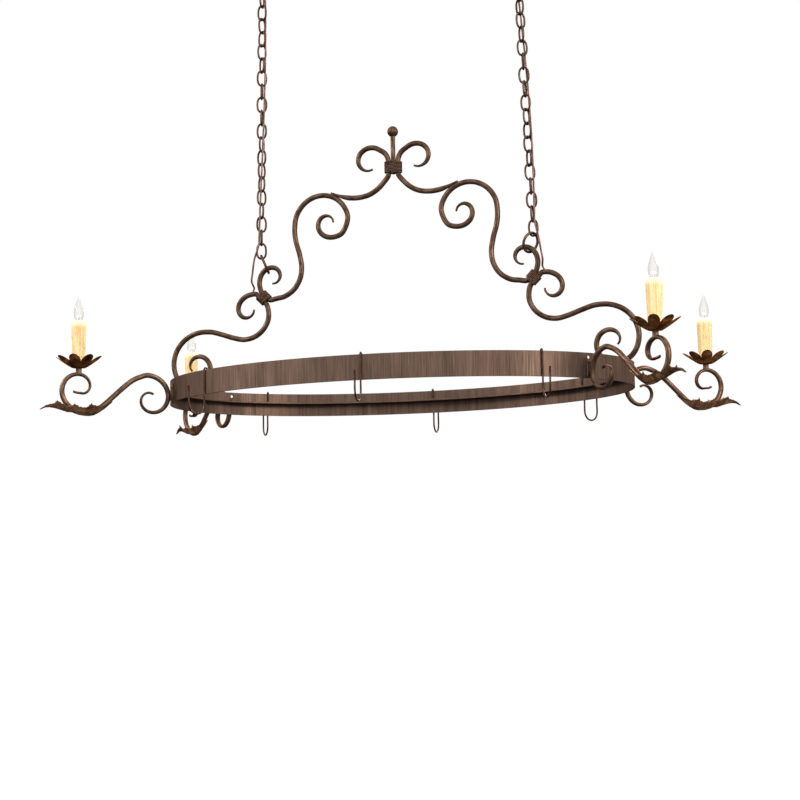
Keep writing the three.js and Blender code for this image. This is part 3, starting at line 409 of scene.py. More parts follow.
# %% Finishes of the hammered sheet
SHEET_BROWNS = {
    "dark_hammered_sheet": [(0.3, "#402815"), (0.48, "#7c532f"), (0.6, "#ad7848"), (0.75, "#d89d68")],
    "brown_hammered_sheet": [(0.3, "#412b1f"), (0.48, "#7b5943"), (0.6, "#a37d60"), (0.75, "#cba589")],
}
for finish, stops in SHEET_BROWNS.items():
    material, tree, surface = new_material(finish)
    where = add_node(tree, "TexCoord").outputs["Object"]
    stain = add_node(tree, "TexNoise", Vector=where, Scale=45.0, Detail=4.0, Roughness=0.55)
    peen = add_node(tree, "TexVoronoi", {"feature": "SMOOTH_F1"}, Vector=where, Scale=190.0)
    brown = add_node(tree, "ValToRGB", stops=stops, Fac=stain.outputs["Fac"])
    hammered = add_node(tree, "Bump", Strength=0.3, Distance=0.0005, Height=peen.outputs["Distance"])
    connect(tree, surface, Base_Color=brown.outputs["Color"], Normal=hammered.outputs[0], Roughness=0.5)
    connect(tree, surface, Metallic=0.65, Specular_IOR_Level=COAT_SHINE, Specular_Tint=COAT_GLINT)
    print("material:", material.name, len(tree.nodes), "nodes")
dark_sheet, leaf_sheet = (bpy.data.materials[finish] for finish in SHEET_BROWNS)

# %% The hooks' wire
hook_wire, tree, surface = new_material("dark_drawn_wire")
along_bar = add_node(tree, "UVMap", {"uv_map": "along"})
drawn_space = add_node(tree, "Mapping", Vector=along_bar.outputs["UV"], Scale=(5, 60, 1))
drawn = add_node(tree, "TexNoise", Vector=drawn_space.outputs[0], Scale=1.0, Detail=4.0).outputs["Fac"]
brown = add_node(tree, "ValToRGB", stops=[(0.32, "#24150d"), (0.5, "#432c1f"), (0.68, "#6b4a36")], Fac=drawn)
scored = add_node(tree, "Bump", Strength=0.2, Distance=0.0002, Height=drawn)
connect(tree, surface, Base_Color=brown.outputs["Color"], Normal=scored.outputs[0], Metallic=0.75, Roughness=0.42)
print("material:", hook_wire.name, len(tree.nodes), "nodes")

# %% [markdown]
# ## Wax-coloured resin
# The candle sleeves are cast resin, tinted like old beeswax, with runs of drips that are paler than the hollows
# between. Light goes a few millimetres in, so they look soft. The lit bulb's light on the rim is painted on as a glow
# that fades over the top 18 mm, and a faint painted glow covers the rest of the sleeve. The runs are about 4 mm wide,
# so the noise is stretched to that.

# %% The candles' resin
SLEEVE_TOP, RIM_GLOW_DEPTH = 198.0, 0.018
rim_height = (SLEEVE_TOP - CEILING_HEIGHT) / 1000

candle_resin, tree, surface = new_material("beeswax_resin")
where = add_node(tree, "TexCoord").outputs["Object"]
run_space = add_node(tree, "Mapping", Vector=where, Scale=(230, 230, 14))
runs = add_node(tree, "TexNoise", Vector=run_space.outputs[0], Scale=1.0, Detail=1.5, Roughness=0.5).outputs["Fac"]
bloom = add_node(tree, "TexNoise", Vector=where, Scale=60.0, Detail=3.0)
both = add_node(tree, "Mix", {"data_type": "FLOAT"}, _0=0.15, _2=runs, _3=bloom.outputs["Fac"])
wax_yellows = [(0.3, "#ebc581"), (0.45, "#f0d094"), (0.58, "#f3dba8"), (0.75, "#f5e4c0")]
tint = add_node(tree, "ValToRGB", stops=wax_yellows, Fac=both.outputs[0])
ridged = add_node(tree, "Bump", Strength=0.12, Distance=0.0006, Height=runs)
height = add_node(tree, "SeparateXYZ", Vector=where)
# painted light: an emission that rises over the top 18 mm of the sleeve, with a faint glow of 0.03 below it
painted_rim_glow = add_node(
    tree, "MapRange", {"interpolation_type": "SMOOTHSTEP"},
    Value=height.outputs["Z"], From_Min=rim_height - RIM_GLOW_DEPTH, From_Max=rim_height, To_Min=0.03, To_Max=1.0,
)
connect(tree, surface, Base_Color=tint.outputs["Color"], Normal=ridged.outputs[0], Roughness=0.48)
connect(tree, surface, Emission_Color=linear("#ffedd0"), Emission_Strength=painted_rim_glow.outputs[0])
connect(tree, surface, Subsurface_Weight=0.35, Subsurface_Radius=(0.006, 0.004, 0.002), Subsurface_Scale=1.0)
print("material:", candle_resin.name, len(tree.nodes), "nodes")

# %% [markdown]
# ## Glass, filament, porcelain, zinc and the cord's sleeve
# The bulbs are clear blown glass, so thin that it hardly bends what is behind it: its IOR is set near that of air,
# and a grey is painted on the rim, where one looks along the wall: painted reflection, standing in for the darker
# surroundings that a real bulb's edge reflects and bends into view. The filament is tungsten wire, white hot. The
# sockets are glazed porcelain, the bars inside the canopies zinc-plated steel, and the lamp cords a russet sleeve
# over two wires, which is drawn as a fine lay along the cord.

# %% Glass, filament, porcelain, zinc, sleeve
bulb_glass, tree, surface = new_material("clear_bulb_glass")
# painted reflection: the glass's colour greys towards the rim, in place of the darker surroundings seen in a real
# bulb's edge
painted_rim_weight = add_node(tree, "LayerWeight", Blend=0.35)
painted_rim_greys = [(0.0, "#fbfaf8"), (0.6, "#e4e0dc"), (1.0, "#8d8680")]
painted_grey_rim = add_node(tree, "ValToRGB", stops=painted_rim_greys, Fac=painted_rim_weight.outputs["Facing"])
connect(tree, surface, Base_Color=painted_grey_rim.outputs["Color"], Transmission_Weight=1.0, IOR=1.12, Roughness=0.0)

hot_tungsten, tree, surface = new_material("glowing_tungsten")
where = add_node(tree, "TexCoord").outputs["Object"]
flicker = add_node(tree, "TexNoise", Vector=where, Scale=300.0)
glow = add_node(tree, "ValToRGB", stops=[(0.3, "#ffd9a0"), (0.7, "#fff3dc")], Fac=flicker.outputs["Fac"])
connect(tree, surface, Base_Color=linear("#8c8478"), Emission_Color=glow.outputs["Color"], Emission_Strength=9.0)

glazed_porcelain, tree, surface = new_material("glazed_porcelain")
where = add_node(tree, "TexCoord").outputs["Object"]
specks = add_node(tree, "TexNoise", Vector=where, Scale=400.0, Detail=2.0)
cream = add_node(tree, "ValToRGB", stops=[(0.4, "#ddd6c6"), (0.6, "#efeadd")], Fac=specks.outputs["Fac"])
connect(tree, surface, Base_Color=cream.outputs["Color"], Roughness=0.25, Coat_Weight=0.5)

zinc_steel, tree, surface = new_material("zinc_plated_steel")
where = add_node(tree, "TexCoord").outputs["Object"]
spangle = add_node(tree, "TexVoronoi", Vector=where, Scale=260.0)
grey = add_node(tree, "ValToRGB", stops=[(0.2, "#8f9397"), (0.8, "#b9bcbf")], Fac=spangle.outputs["Distance"])
connect(tree, surface, Base_Color=grey.outputs["Color"], Metallic=0.95, Roughness=0.36)

brown_sleeve, tree, surface = new_material("brown_twin_cord")
along_bar = add_node(tree, "UVMap", {"uv_map": "along"})
lay_space = add_node(tree, "Mapping", Vector=along_bar.outputs["UV"], Scale=(1, 26, 1), Rotation=(0, 0, 0.02))
lay = add_node(tree, "TexWave", {"bands_direction": "DIAGONAL"}, Vector=lay_space.outputs[0], Scale=0.6).outputs["Fac"]
russet = add_node(tree, "ValToRGB", stops=[(0.2, "#4a2a25"), (0.8, "#7a4a41")], Fac=lay)
twisted = add_node(tree, "Bump", Strength=0.5, Distance=0.0006, Height=lay)
connect(tree, surface, Base_Color=russet.outputs["Color"], Normal=twisted.outputs[0], Roughness=0.38)
print("materials so far:", len(bpy.data.materials))

# %% [markdown]
# ## The arch's paths
# The arch is six bars: on each side a centre scroll from the crown, a shoulder scroll that carries the chain's ring
# on its curl, and a foot scroll that comes down over the band's edge. Each path is a row of places, out from the
# middle and up from the band's lower edge, and it is mirrored for the other side.

# %% Sizes of the arch, and how bars pass through a binding
CLEAR = 0.3  # between pieces that touch
RING_END, RING_HALF_WIDTH, BAND_HEIGHT, BAND_THICK = 600.0, 394.0, 60.0, 3.2
BAR_RADIUS, BAR_TIP, BAR_TAPER, ROD_RADIUS = 6.7, 3.4, 95.0, 6.0
CROWN_HEIGHT, KNOT_OUT, KNOT_HEIGHT, KNOT_TILT = 590.0, 361.0, 279.7, 45.0
BINDING_WIRE, BINDING_PITCH, BINDING_CLEAR, CROWN_TURNS, KNOT_TURNS = 4.2, 4.7, 0.6, 6, 5
STRAIGHT_RUN = (-1.2, -0.85, 0.85, 1.2)  # a bar runs straight through a binding, in shares of its half length
crown_spread, knot_spread = ROD_RADIUS + BAR_RADIUS + 2 * CLEAR, BAR_RADIUS + CLEAR


def binding_length(turns):
    return turns * BINDING_PITCH + BINDING_WIRE


def through_knot(side):
    reach = binding_length(KNOT_TURNS) / 2
    u, w = math.cos(turn(KNOT_TILT)), math.sin(turn(KNOT_TILT))
    x, z = KNOT_OUT - w * knot_spread * side, KNOT_HEIGHT + u * knot_spread * side
    return [(x + u * reach * end, z + w * reach * end) for end in STRAIGHT_RUN]


def beside(middle, offsets):
    return [(middle[0] + x, middle[1] + z) for x, z in offsets]


print("a side binding is", binding_length(KNOT_TURNS), "mm long")

# %% The centre scroll's path, from its curl beside the crown to its landing on the shoulder
shoulder = (KNOT_OUT - 167, CROWN_HEIGHT - 129)
reach = binding_length(CROWN_TURNS) / 2
crown_curl_centre, crown_curl_radii = (67, CROWN_HEIGHT + 24.8), (27.6, 41.3)
centre_path = (
    scroll(crown_curl_centre, crown_curl_radii, (-116, 150), 5)
    + beside((0, CROWN_HEIGHT), [(23.5, 40), (16.8, 31)])
    + [(crown_spread, CROWN_HEIGHT - reach * end) for end in STRAIGHT_RUN]
    + beside((0, CROWN_HEIGHT), [(25, -35), (44, -53), (68, -65.5), (96, -70)])
    + beside(shoulder, [(-74, 60.5), (-54, 65.5), (-37, 72), (-23, 78)])
)
print("the centre scroll's path has", len(centre_path), "points")

# %% The shoulder scroll's path, from its big curl to the small one that the chain pulls on
curl_centre, tip_centre = (KNOT_OUT - 26.8, KNOT_HEIGHT + 54.6), (KNOT_OUT + 48.8, KNOT_HEIGHT - 28)
seat_curl = scroll(curl_centre, (19.2, 42.6), (-82, -385), 4)[::-1]
shoulder_swoop = [(76, -38), (66, -74), (60.5, -108), (65, -138), (82, -165), (108, -181.5), (130, -185.5)]
shoulder_path = (
    scroll((shoulder[0] - 10, shoulder[1] + 0.5), (18.8, 51.3), (179, -145), 3.5)
    + scroll(shoulder, (69, 79), (172, -6))
    + beside(shoulder, shoulder_swoop)
    + through_knot(1)
    + seat_curl
)
print("the shoulder scroll's path has", len(shoulder_path), "points")

# %% The foot scroll's path, from the knot out and down over the band's edge
EDGE_SLOPE = turn(40)  # how steeply the bar crosses the band's top edge
rise = (BAR_RADIUS + CLEAR + math.sin(EDGE_SLOPE) * BAND_THICK / 2) / math.cos(EDGE_SLOPE)
over_edge = beside(
    (RING_END - BAND_THICK / 2, BAND_HEIGHT + rise),
    [(s * math.cos(EDGE_SLOPE), s * math.sin(EDGE_SLOPE)) for s in (5, -5)],
)
tip_curl = scroll(tip_centre, (21.3, 48), (-178, 126), 5)
foot_path = (
    tip_curl
    + through_knot(-1)[::-1]
    + scroll((KNOT_OUT + 50.7, KNOT_HEIGHT - 33.3), (62.5, 72.6), (176, 274), 0.6)
    + [(RING_END - 153, BAND_HEIGHT + 120), (RING_END - 120, BAND_HEIGHT + 131)]
    + scroll((RING_END - 53.8, BAND_HEIGHT + 50), (95.9, 70), (110, -13), 0.82)
    + over_edge
    + scroll((RING_END - 47.4, BAND_HEIGHT + 49.5), (63.1, 16.3), (285, -35), 0.55)
)
print("the foot scroll's path has", len(foot_path), "points")

# %% [markdown]
# ## The chains' geometry
# Each chain hangs from its canopy's loop down to a ring that sits on the shoulder scroll's curl. Every link is
# turned about 100 degrees from the one above, a little past square, as a slightly twisted chain hangs, so the gap
# beside each crossing turns steadily, and the lamp cord is threaded down through those gaps. The two sides differ
# in where the chain hangs (head), where the ring sits on the curl (seat), how it leans and turns, how the last link
# is turned, on which side of the chain the cord starts, and where it ends on the outer curl: all but head in degrees.

# %% Where the rings and links are
SIDES = {
    "left": dict(sign=-1, head=358, seat=50, lean=24, ring_turn=109, last=19, cord=-111.8, cord_end=112),
    "right": dict(sign=1, head=338, seat=52, lean=21.5, ring_turn=55, last=-10, cord=-50, cord_end=115),
}
RING_WIRE, RING_HALF_LONG, RING_HALF_WIDE, RING_SLACK = 6.0, 24.0, 21.5, 1
LINK_LENGTH, LINK_WIDTH, LINK_WIRE, LINK_COUNT, LINK_TURN = 44.0, 28.0, 4.5, 20, -100.0
LOOSE_PITCH, TIGHT_PITCH = 34.7, 35.35  # under the top link, and between the others
EYE_WIRE, EYE_RADIUS = 5.0, 12.5


def place_on_scroll(path, centre, angle, sign):
    line = spline([(x, 0, z) for x, z in path], steps=60)
    miss = np.abs(np.degrees(np.arctan2(line[:, 2] - centre[1], line[:, 0] - centre[0])) - angle)
    x, _, z = line[miss.argmin()]
    return np.array([sign * x, 0, z])


def ring_seat(side):
    sign, seat, lean, level_turn = side["sign"], turn(side["seat"]), turn(side["lean"]), turn(side["ring_turn"])
    bearing = place_on_scroll(seat_curl, curl_centre, side["seat"], sign)
    axis = np.array([sign * math.sin(lean), 0, math.cos(lean)])
    level = np.array([math.cos(level_turn), math.sin(level_turn), 0])
    across = np.cross(axis, level)
    along = np.array([-sign * math.sin(seat), 0, math.cos(seat)])
    normal = np.cross(level, along)
    slant = abs(normal.dot(axis)) / np.linalg.norm(normal)
    centre = bearing + axis * (RING_HALF_LONG - (RING_WIRE / 2 + BAR_RADIUS) / slant)
    foot = centre + axis * RING_HALF_LONG - (0, 0, RING_WIRE / 2 + RING_SLACK + LINK_WIRE / 2)
    return centre, axis, across / np.linalg.norm(across), foot


def chain_run(side):
    foot = ring_seat(side)[3]
    rest = LINK_LENGTH / 2 - LINK_WIRE / 2
    reach = 2 * rest + LOOSE_PITCH + (LINK_COUNT - 2) * TIGHT_PITCH
    sideways = side["sign"] * side["head"] - foot[0]
    up = np.array([sideways, 0, math.sqrt(reach**2 - sideways**2)]) / reach
    top = foot + up * reach
    half = round((LINK_TURN * (LINK_COUNT - 1) - (side["last"] - 90)) / 180)
    step = (side["last"] - 90 + 180 * half) / (LINK_COUNT - 1)
    gone = [rest + (LOOSE_PITCH + (i - 1) * TIGHT_PITCH if i else 0) for i in range(LINK_COUNT)]
    links = [(top - up * g, 90 + step * i) for i, g in enumerate(gone)]
    return links, step, up, top[2] - LINK_WIRE / 2 - CLEAR - EYE_WIRE / 2


for name, side in SIDES.items():
    links, step, up, eye = chain_run(side)
    print(name, "chain: head", links[0][0].round(1), "step", round(step, 2), "eye at", round(eye, 1))

# %% [markdown]
# ## The lamp cords
# A twin lamp cord leaves each canopy beside the loop, is threaded down the chain and ends on the arch, where its
# wires go on inside. It is limp but held by the links, so it neither coils nor sags. Its route is the CAD solid's
# own: it passes each crossing of two links through the gap beside it.

# %% The cords
CANOPY_BOTTOM = 1125.0
CORD_DIAMETER, CORD_START = 5.0, CEILING_HEIGHT - 12
CORD_OUT, CORD_WAY_OUT = 9.4, 20.0  # from the chain's middle line, and from the canopy's axis
CORD_HANG = ((9, 2, 80), (4, 1.5, 48), (0.5, 0, 24))  # inwards, forwards and up from the end on the curl


def cord_route(side):
    links, step, up, eye = chain_run(side)
    last = LINK_COUNT - 2

    def beside_link(middle, along, link, out):
        angle = turn(side["cord"] - (step + 90) * (last - link))
        return np.asarray(middle, float) + up * along + (out * math.cos(angle), out * math.sin(angle), 0)

    x = side["sign"] * side["head"]
    route = [
        beside_link((x, 0, CORD_START), 0, 0, CORD_WAY_OUT),
        beside_link((x, 0, CANOPY_BOTTOM), 0, 0, CORD_WAY_OUT - 0.5),
        beside_link((x, 0, eye + 16), 0, 0, CORD_OUT + 5),
        beside_link((x, 0, eye), 0, 0, CORD_OUT),
    ]
    for i in range(last + 1):
        route.append(beside_link(links[i][0], 0, i - 0.5, CORD_OUT))
        route.append(beside_link(links[i][0], -TIGHT_PITCH / 2, i, CORD_OUT))
    seat = place_on_scroll(foot_path[: len(tip_curl) + 2], tip_centre, side["cord_end"], side["sign"])
    out = np.array([side["sign"] * math.cos(turn(side["cord_end"])), 0, math.sin(turn(side["cord_end"]))])
    end = seat + out * (BAR_RADIUS + 4 * CLEAR)
    front = BAR_RADIUS + CORD_DIAMETER / 2 + 2.5 * CLEAR
    for inwards, forwards, height in CORD_HANG:
        route.append(np.array([end[0] - side["sign"] * inwards, -front - forwards, end[2] + height]))
    return route + [end + out * 9, end + out * 4, end]


for name, side in SIDES.items():
    route = cord_route(side)
    piece = make_piece(f"twin_cord_{name}", bar(route, lambda a, b: CORD_DIAMETER / 2, sides=12, step=2.0))
    dress(piece, f"lamp_cord_{name}", brown_sleeve)

# %% [markdown]
# ## The band and its ledge
# Flat bar, 60 by 3.2 mm, rolled on edge into an oval 1200 by 788 mm, with a narrower flat ring inside it to stiffen
# it. Its edges are only broken with a file, so they get a bevel of half a millimetre, which draws the thin bright
# line that a real edge shows.

# %% Oval strips
OVAL_STEPS, LEDGE_WIDTH, LEDGE_UNDERSIDE = 384, 25, 31
BEVEL, BAND_INSET = 0.5, 0.15  # the smooth oval starts a little inside, so that it stays in the CAD's box


def oval_strip(outer, inner, bottom, top):
    section = [
        (outer, bottom + BEVEL), (outer, top - BEVEL), (outer + BEVEL, top), (inner - BEVEL, top),
        (inner, top - BEVEL), (inner, bottom + BEVEL), (inner - BEVEL, bottom), (outer + BEVEL, bottom),
    ]
    rings = [
        [((RING_END - s) * math.cos(angle), (RING_HALF_WIDTH - s) * math.sin(angle), z) for s, z in section]
        for angle in circle(OVAL_STEPS)
    ]
    return skin(rings, closed=True)


ledge_outer = BAND_THICK + CLEAR
ledge_shape = oval_strip(ledge_outer, ledge_outer + LEDGE_WIDTH, LEDGE_UNDERSIDE, LEDGE_UNDERSIDE + BAND_THICK)
band = make_piece("oval_band", oval_strip(BAND_INSET, BAND_THICK, 0, BAND_HEIGHT))
ledge = make_piece("inner_ledge", ledge_shape)
print("band:", len(band.data.polygons), "faces; ledge:", len(ledge.data.polygons), "faces")

# %% [markdown]
# ## Seats for the arms, and the wire holes
# Each arm stands square to the band. The CAD band is faceted, so a seat is found on the flat between the two facet
# edges on either side of it. A hole for the lamp's wires goes through the band over each seat. It is cut with a
# boolean modifier, whose result is then kept as the plain mesh.

# %% Seats on the band
ARM_PLACE = 26.75  # degrees round the ellipse, from the long axis
STEPS_TO_ARM, STEPS_PAST_ARM = 5.5, 12.5  # of the CAD band's facets, so the arm stands in the middle of one
FACET_EDGES = (ARM_PLACE - ARM_PLACE / STEPS_TO_ARM / 2, ARM_PLACE + (90 - ARM_PLACE) / STEPS_PAST_ARM / 2)


def arm_seat(x_sign, y_sign):
    share = (ARM_PLACE - FACET_EDGES[0]) / (FACET_EDGES[1] - FACET_EDGES[0])
    a, b = (np.array([RING_END * math.cos(turn(t)), RING_HALF_WIDTH * math.sin(turn(t)), 0]) for t in FACET_EDGES)
    along = (b - a) / np.linalg.norm(b - a)
    flip = np.array([x_sign, y_sign, 1])
    return (a + (b - a) * share) * flip, np.array([along[1], -along[0], 0]) * flip, along * flip


SEATS = {
    "front_left": arm_seat(-1, -1), "front_right": arm_seat(1, -1),
    "back_left": arm_seat(-1, 1), "back_right": arm_seat(1, 1),
}


def on_seat(seat, out, sideways, height):
    return seat[0] + seat[1] * out + seat[2] * sideways + (0, 0, height)


def across_seat(seat, height, profile):
    angles = circle(28)
    return skin(
        [[on_seat(seat, out, r * math.cos(t), height + r * math.sin(t)) for t in angles] for r, out in profile]
    )


print("seats:", {name: [round(float(c), 1) for c in seat[0][:2]] for name, seat in SEATS.items()})

# %% The wire holes
WIRE_HOLE_RADIUS, WIRE_HOLE_HEIGHT = 4, 49.5


def cut_away(piece, drill):
    cut = piece.modifiers.new("drilled", "BOOLEAN")
    cut.operation, cut.solver, cut.object = "DIFFERENCE", "EXACT", drill
    bpy.context.view_layer.update()
    drilled = bpy.data.meshes.new_from_object(piece.evaluated_get(bpy.context.evaluated_depsgraph_get()))
    piece.modifiers.clear()
    piece.data = drilled
    bpy.data.objects.remove(drill)


hole_profile = [(WIRE_HOLE_RADIUS, -12), (WIRE_HOLE_RADIUS, 6)]
pins = [across_seat(seat, WIRE_HOLE_HEIGHT, hole_profile) for seat in SEATS.values()]
cut_away(band, make_piece("wire_hole_drill", *pins))
band.data.set_sharp_from_angle(angle=turn(30))
dress(band, "ring_band", band_iron)
dress(ledge, "ring_ledge", band_iron)
print("band drilled:", len(band.data.polygons), "faces")

# %% [markdown]
# ## The arch
# Six forged bars, the rod with its ball, and three wire bindings. The centre scrolls end in a scarf: a long slant
# that lies along the shoulder scroll and is hammered into it. A binding is one wire wound tightly round bars that
# lie side by side: its path goes round a shape like a running track, rising one wire's pitch each turn. Its wire is
# finer than the CAD's and has more turns in the same length, as the real one has.

# %% The six bars and the crown's rod
SCARF_LENGTH, SCARF_DEPTH = 50, 3.2
ARCH_RIBBON = (45, 2.6, 5.2, 12)


def scarfed(taper):
    def radius_at(from_start, from_end):
        if from_start < from_end:
            return taper(from_start, from_end)
        return BAR_RADIUS - SCARF_DEPTH * max(0, 1 - from_end / SCARF_LENGTH)

    return radius_at


arch_taper = drawn_down(BAR_RADIUS, BAR_TAPER, BAR_TIP)
ARCH_BARS = {
    "centre_scroll": (centre_path, scarfed(arch_taper)),
    "shoulder_scroll": (shoulder_path, arch_taper),
    "foot_scroll": (foot_path, arch_taper),
}
for name, side in SIDES.items():
    for node, (path, taper) in ARCH_BARS.items():
        points = [(side["sign"] * x, 0, z) for x, z in path]
        forged = bar(points, taper, sides=16, ribbon=ARCH_RIBBON)
        piece = dress(make_piece(f"forged_{node}_{name}", forged), f"{node}_{name}", brown_iron)
        print(piece.name, len(piece.data.polygons), "faces")

# %% The ball finial
BALL_RADIUS, BALL_HEIGHT, BALL_STEPS = 14.0, 683.0, 24
rod_foot = CROWN_HEIGHT - binding_length(CROWN_TURNS) / 2 - 1
ball_start = math.asin(ROD_RADIUS / BALL_RADIUS)
rod_profile = [(0.01, rod_foot), (ROD_RADIUS - 1, rod_foot), (ROD_RADIUS, rod_foot + 1)]
for step in range(BALL_STEPS + 1):
    angle = ball_start + (math.pi - ball_start) * step / BALL_STEPS
    rod_profile.append((max(0.01, BALL_RADIUS * math.sin(angle)), BALL_HEIGHT - BALL_RADIUS * math.cos(angle)))
finial = make_piece("ball_finial", turned(rod_profile, (0, 0), 40))
dress(finial, "crown_finial", brown_iron)
print(finial.name, len(finial.data.polygons), "faces")


# %% The wire bindings
FINE_WIRE, FINE_CROWN_TURNS, FINE_KNOT_TURNS = 3.4, 8, 7


def wound(half_spread, bundle_radius, turns, length):
    pitch = (length - FINE_WIRE) / turns
    radius = bundle_radius + BINDING_CLEAR + FINE_WIRE / 2
    flat = 2 * half_spread
    loop = 2 * flat + 2 * math.pi * radius

    def around(gone):
        d = gone % loop
        if d < flat:
            return d - half_spread, -radius
        if d < flat + math.pi * radius:
            angle = (d - flat) / radius - math.pi / 2
            return half_spread + radius * math.cos(angle), radius * math.sin(angle)
        if d < 2 * flat + math.pi * radius:
            return half_spread - (d - flat - math.pi * radius), radius
        angle = (d - 2 * flat - math.pi * radius) / radius + math.pi / 2
        return -half_spread + radius * math.cos(angle), radius * math.sin(angle)

    steps = turns * 12
    points = [
        np.array([*around(half_spread + loop * turns * i / steps), (i / steps - 0.5) * turns * pitch])
        for i in range(steps + 1)
    ]
    first, last = points[0] - (FINE_WIRE, 0, 0), points[-1] + (FINE_WIRE, 0, 0)
    return [first, *points, last]


def binding(name, node, points, tilt, middle):
    c, s = math.cos(turn(tilt)), math.sin(turn(tilt))
    placed = [(x * c + z * s + middle[0], y, -x * s + z * c + middle[1]) for x, y, z in points]
    wire = bar(placed, lambda a, b: FINE_WIRE / 2, sides=12, across=(s, 0, c), step=1.5)
    return dress(make_piece(name, wire), node, brown_iron)


crown_coil = wound(crown_spread, BAR_RADIUS, FINE_CROWN_TURNS, binding_length(CROWN_TURNS))
binding("crown_wire", "crown_binding", crown_coil, 0, (0, CROWN_HEIGHT))
knot_coil = wound(knot_spread, BAR_RADIUS, FINE_KNOT_TURNS, binding_length(KNOT_TURNS))
for name, side in SIDES.items():
    middle = (side["sign"] * KNOT_OUT, KNOT_HEIGHT)
    binding(f"side_wire_{name}", f"side_binding_{name}", knot_coil, side["sign"] * (90 - KNOT_TILT), middle)
print("three bindings of", FINE_CROWN_TURNS, "and", FINE_KNOT_TURNS, "turns")

# %% [markdown]
# ## Chains, rings, loops and canopies
# A chain link is a length of wire bent into a long oval and welded shut. The smooth links are drawn in the very
# places of the CAD's faceted ones, so they bear on each other as those do. Black scale and paint thicken the 4.5 mm
# wire by almost a millimetre, and so does the upset where the ring's ends are welded.

# %% One link, and the chains
SCALED_WIRE, SCALED_RING = 5.4, 7.0
LINK_SQUARENESS = 2.4  # 2 would be a plain ellipse, and more is squarer


def link(middle, degrees, up):
    half_wide, half_long = (LINK_WIDTH - LINK_WIRE) / 2, (LINK_LENGTH - LINK_WIRE) / 2
    c, s = np.cos(circle(36)), np.sin(circle(36))
    power = 2 / LINK_SQUARENESS
    path = np.column_stack(
        [half_wide * np.sign(c) * np.abs(c) ** power, 0 * c, half_long * np.sign(s) * np.abs(s) ** power]
    )
    angles = circle(10)
    tangents = np.roll(path, -1, axis=0) - np.roll(path, 1, axis=0)
    rings = []
    for p, t in zip(path, tangents):
        inward = np.array([-t[2], 0, t[0]]) / np.linalg.norm(t)
        rings.append(
            p + SCALED_WIRE / 2 * (np.outer(np.cos(angles), inward) + np.outer(np.sin(angles), (0, 1, 0)))
        )
    points, faces, uvs = skin(rings, closed=True)
    spin = Quaternion((0, 0, 1), turn(degrees)).to_matrix()
    tip = Vector((0, 0, 1)).rotation_difference(Vector(up)).to_matrix()
    return points @ np.array(tip @ spin).T + middle, faces, uvs


for name, side in SIDES.items():
    links, step, up, eye = chain_run(side)
    parts = [link(middle, degrees, up) for middle, degrees in links]
    dress(make_piece(f"welded_links_{name}", *parts[1:]), f"chain_{name}", brown_iron)
    dress(make_piece(f"welded_top_link_{name}", parts[0]), f"top_link_{name}", brown_iron)
    print(name, "chain:", len(parts), "links")


# %% The rings that the chains pull on
def round_loop(middle, wide, high, half_wide, half_high, wire, across):
    path = [middle + wide * half_wide * math.cos(t) + high * half_high * math.sin(t) for t in circle(32)]
    return bar(path, lambda a, b: wire / 2, sides=14, across=across, closed=True, step=2.5)


for name, side in SIDES.items():
    centre, axis, across, foot = ring_seat(side)
    ring = round_loop(centre, np.cross(across, axis), axis, RING_HALF_WIDE, RING_HALF_LONG, SCALED_RING, across)
    dress(make_piece(f"forged_ring_{name}", ring), f"chain_ring_{name}", brown_iron)
    print(name, "ring at", centre.round(1))

# %% [markdown]
# ## At the ceiling
# A canopy is a shallow spun dish that hides the outlet box. Its loop is screwed through it into a bar: a round eye,
# a collar that draws the dish up, and a threaded stem. The dish is turned as one profile, outside and inside, with a
# rolled rim, and the way for the cord is cut through it as the holes in the band were.

# %% The canopy's dish
CANOPY_RADIUS, CANOPY_DEPTH, CANOPY_WALL, STEM_RADIUS = 62.0, 25.0, 1.6, 5.0
CORD_WAY_RADIUS = 9.5
DISH_KNOTS = [  # shares of the radius and of the depth
    (1, 0), (0.985, 0.12), (0.95, 0.34), (0.87, 0.53), (0.75, 0.68), (0.6, 0.81), (0.44, 0.91), (0.3, 0.97), (0.22, 1),
]


def dish(x):
    line = spline([(CANOPY_RADIUS * r, 0, CEILING_HEIGHT - CANOPY_DEPTH * d) for r, d in DISH_KNOTS], steps=5)
    outside = [(p[0], p[2]) for p in line]
    inside = [(r - CANOPY_WALL * 0.7, min(z + CANOPY_WALL, CEILING_HEIGHT)) for r, z in outside]
    hole = STEM_RADIUS + 2 * CLEAR
    profile = outside + [(hole, CANOPY_BOTTOM), (hole, CANOPY_BOTTOM + CANOPY_WALL)] + inside[::-1][1:-1]
    profile.append((CANOPY_RADIUS - CANOPY_WALL, CEILING_HEIGHT))
    return turned(profile, (x, 0), 72, closed=True)


print("a canopy is", 2 * CANOPY_RADIUS, "mm wide")

# %% The loop that is screwed through it
COLLAR_RADIUS, COLLAR_DEPTH = 8.0, 6
RIGHT, UP = np.array([1, 0, 0]), np.array([0, 0, 1])


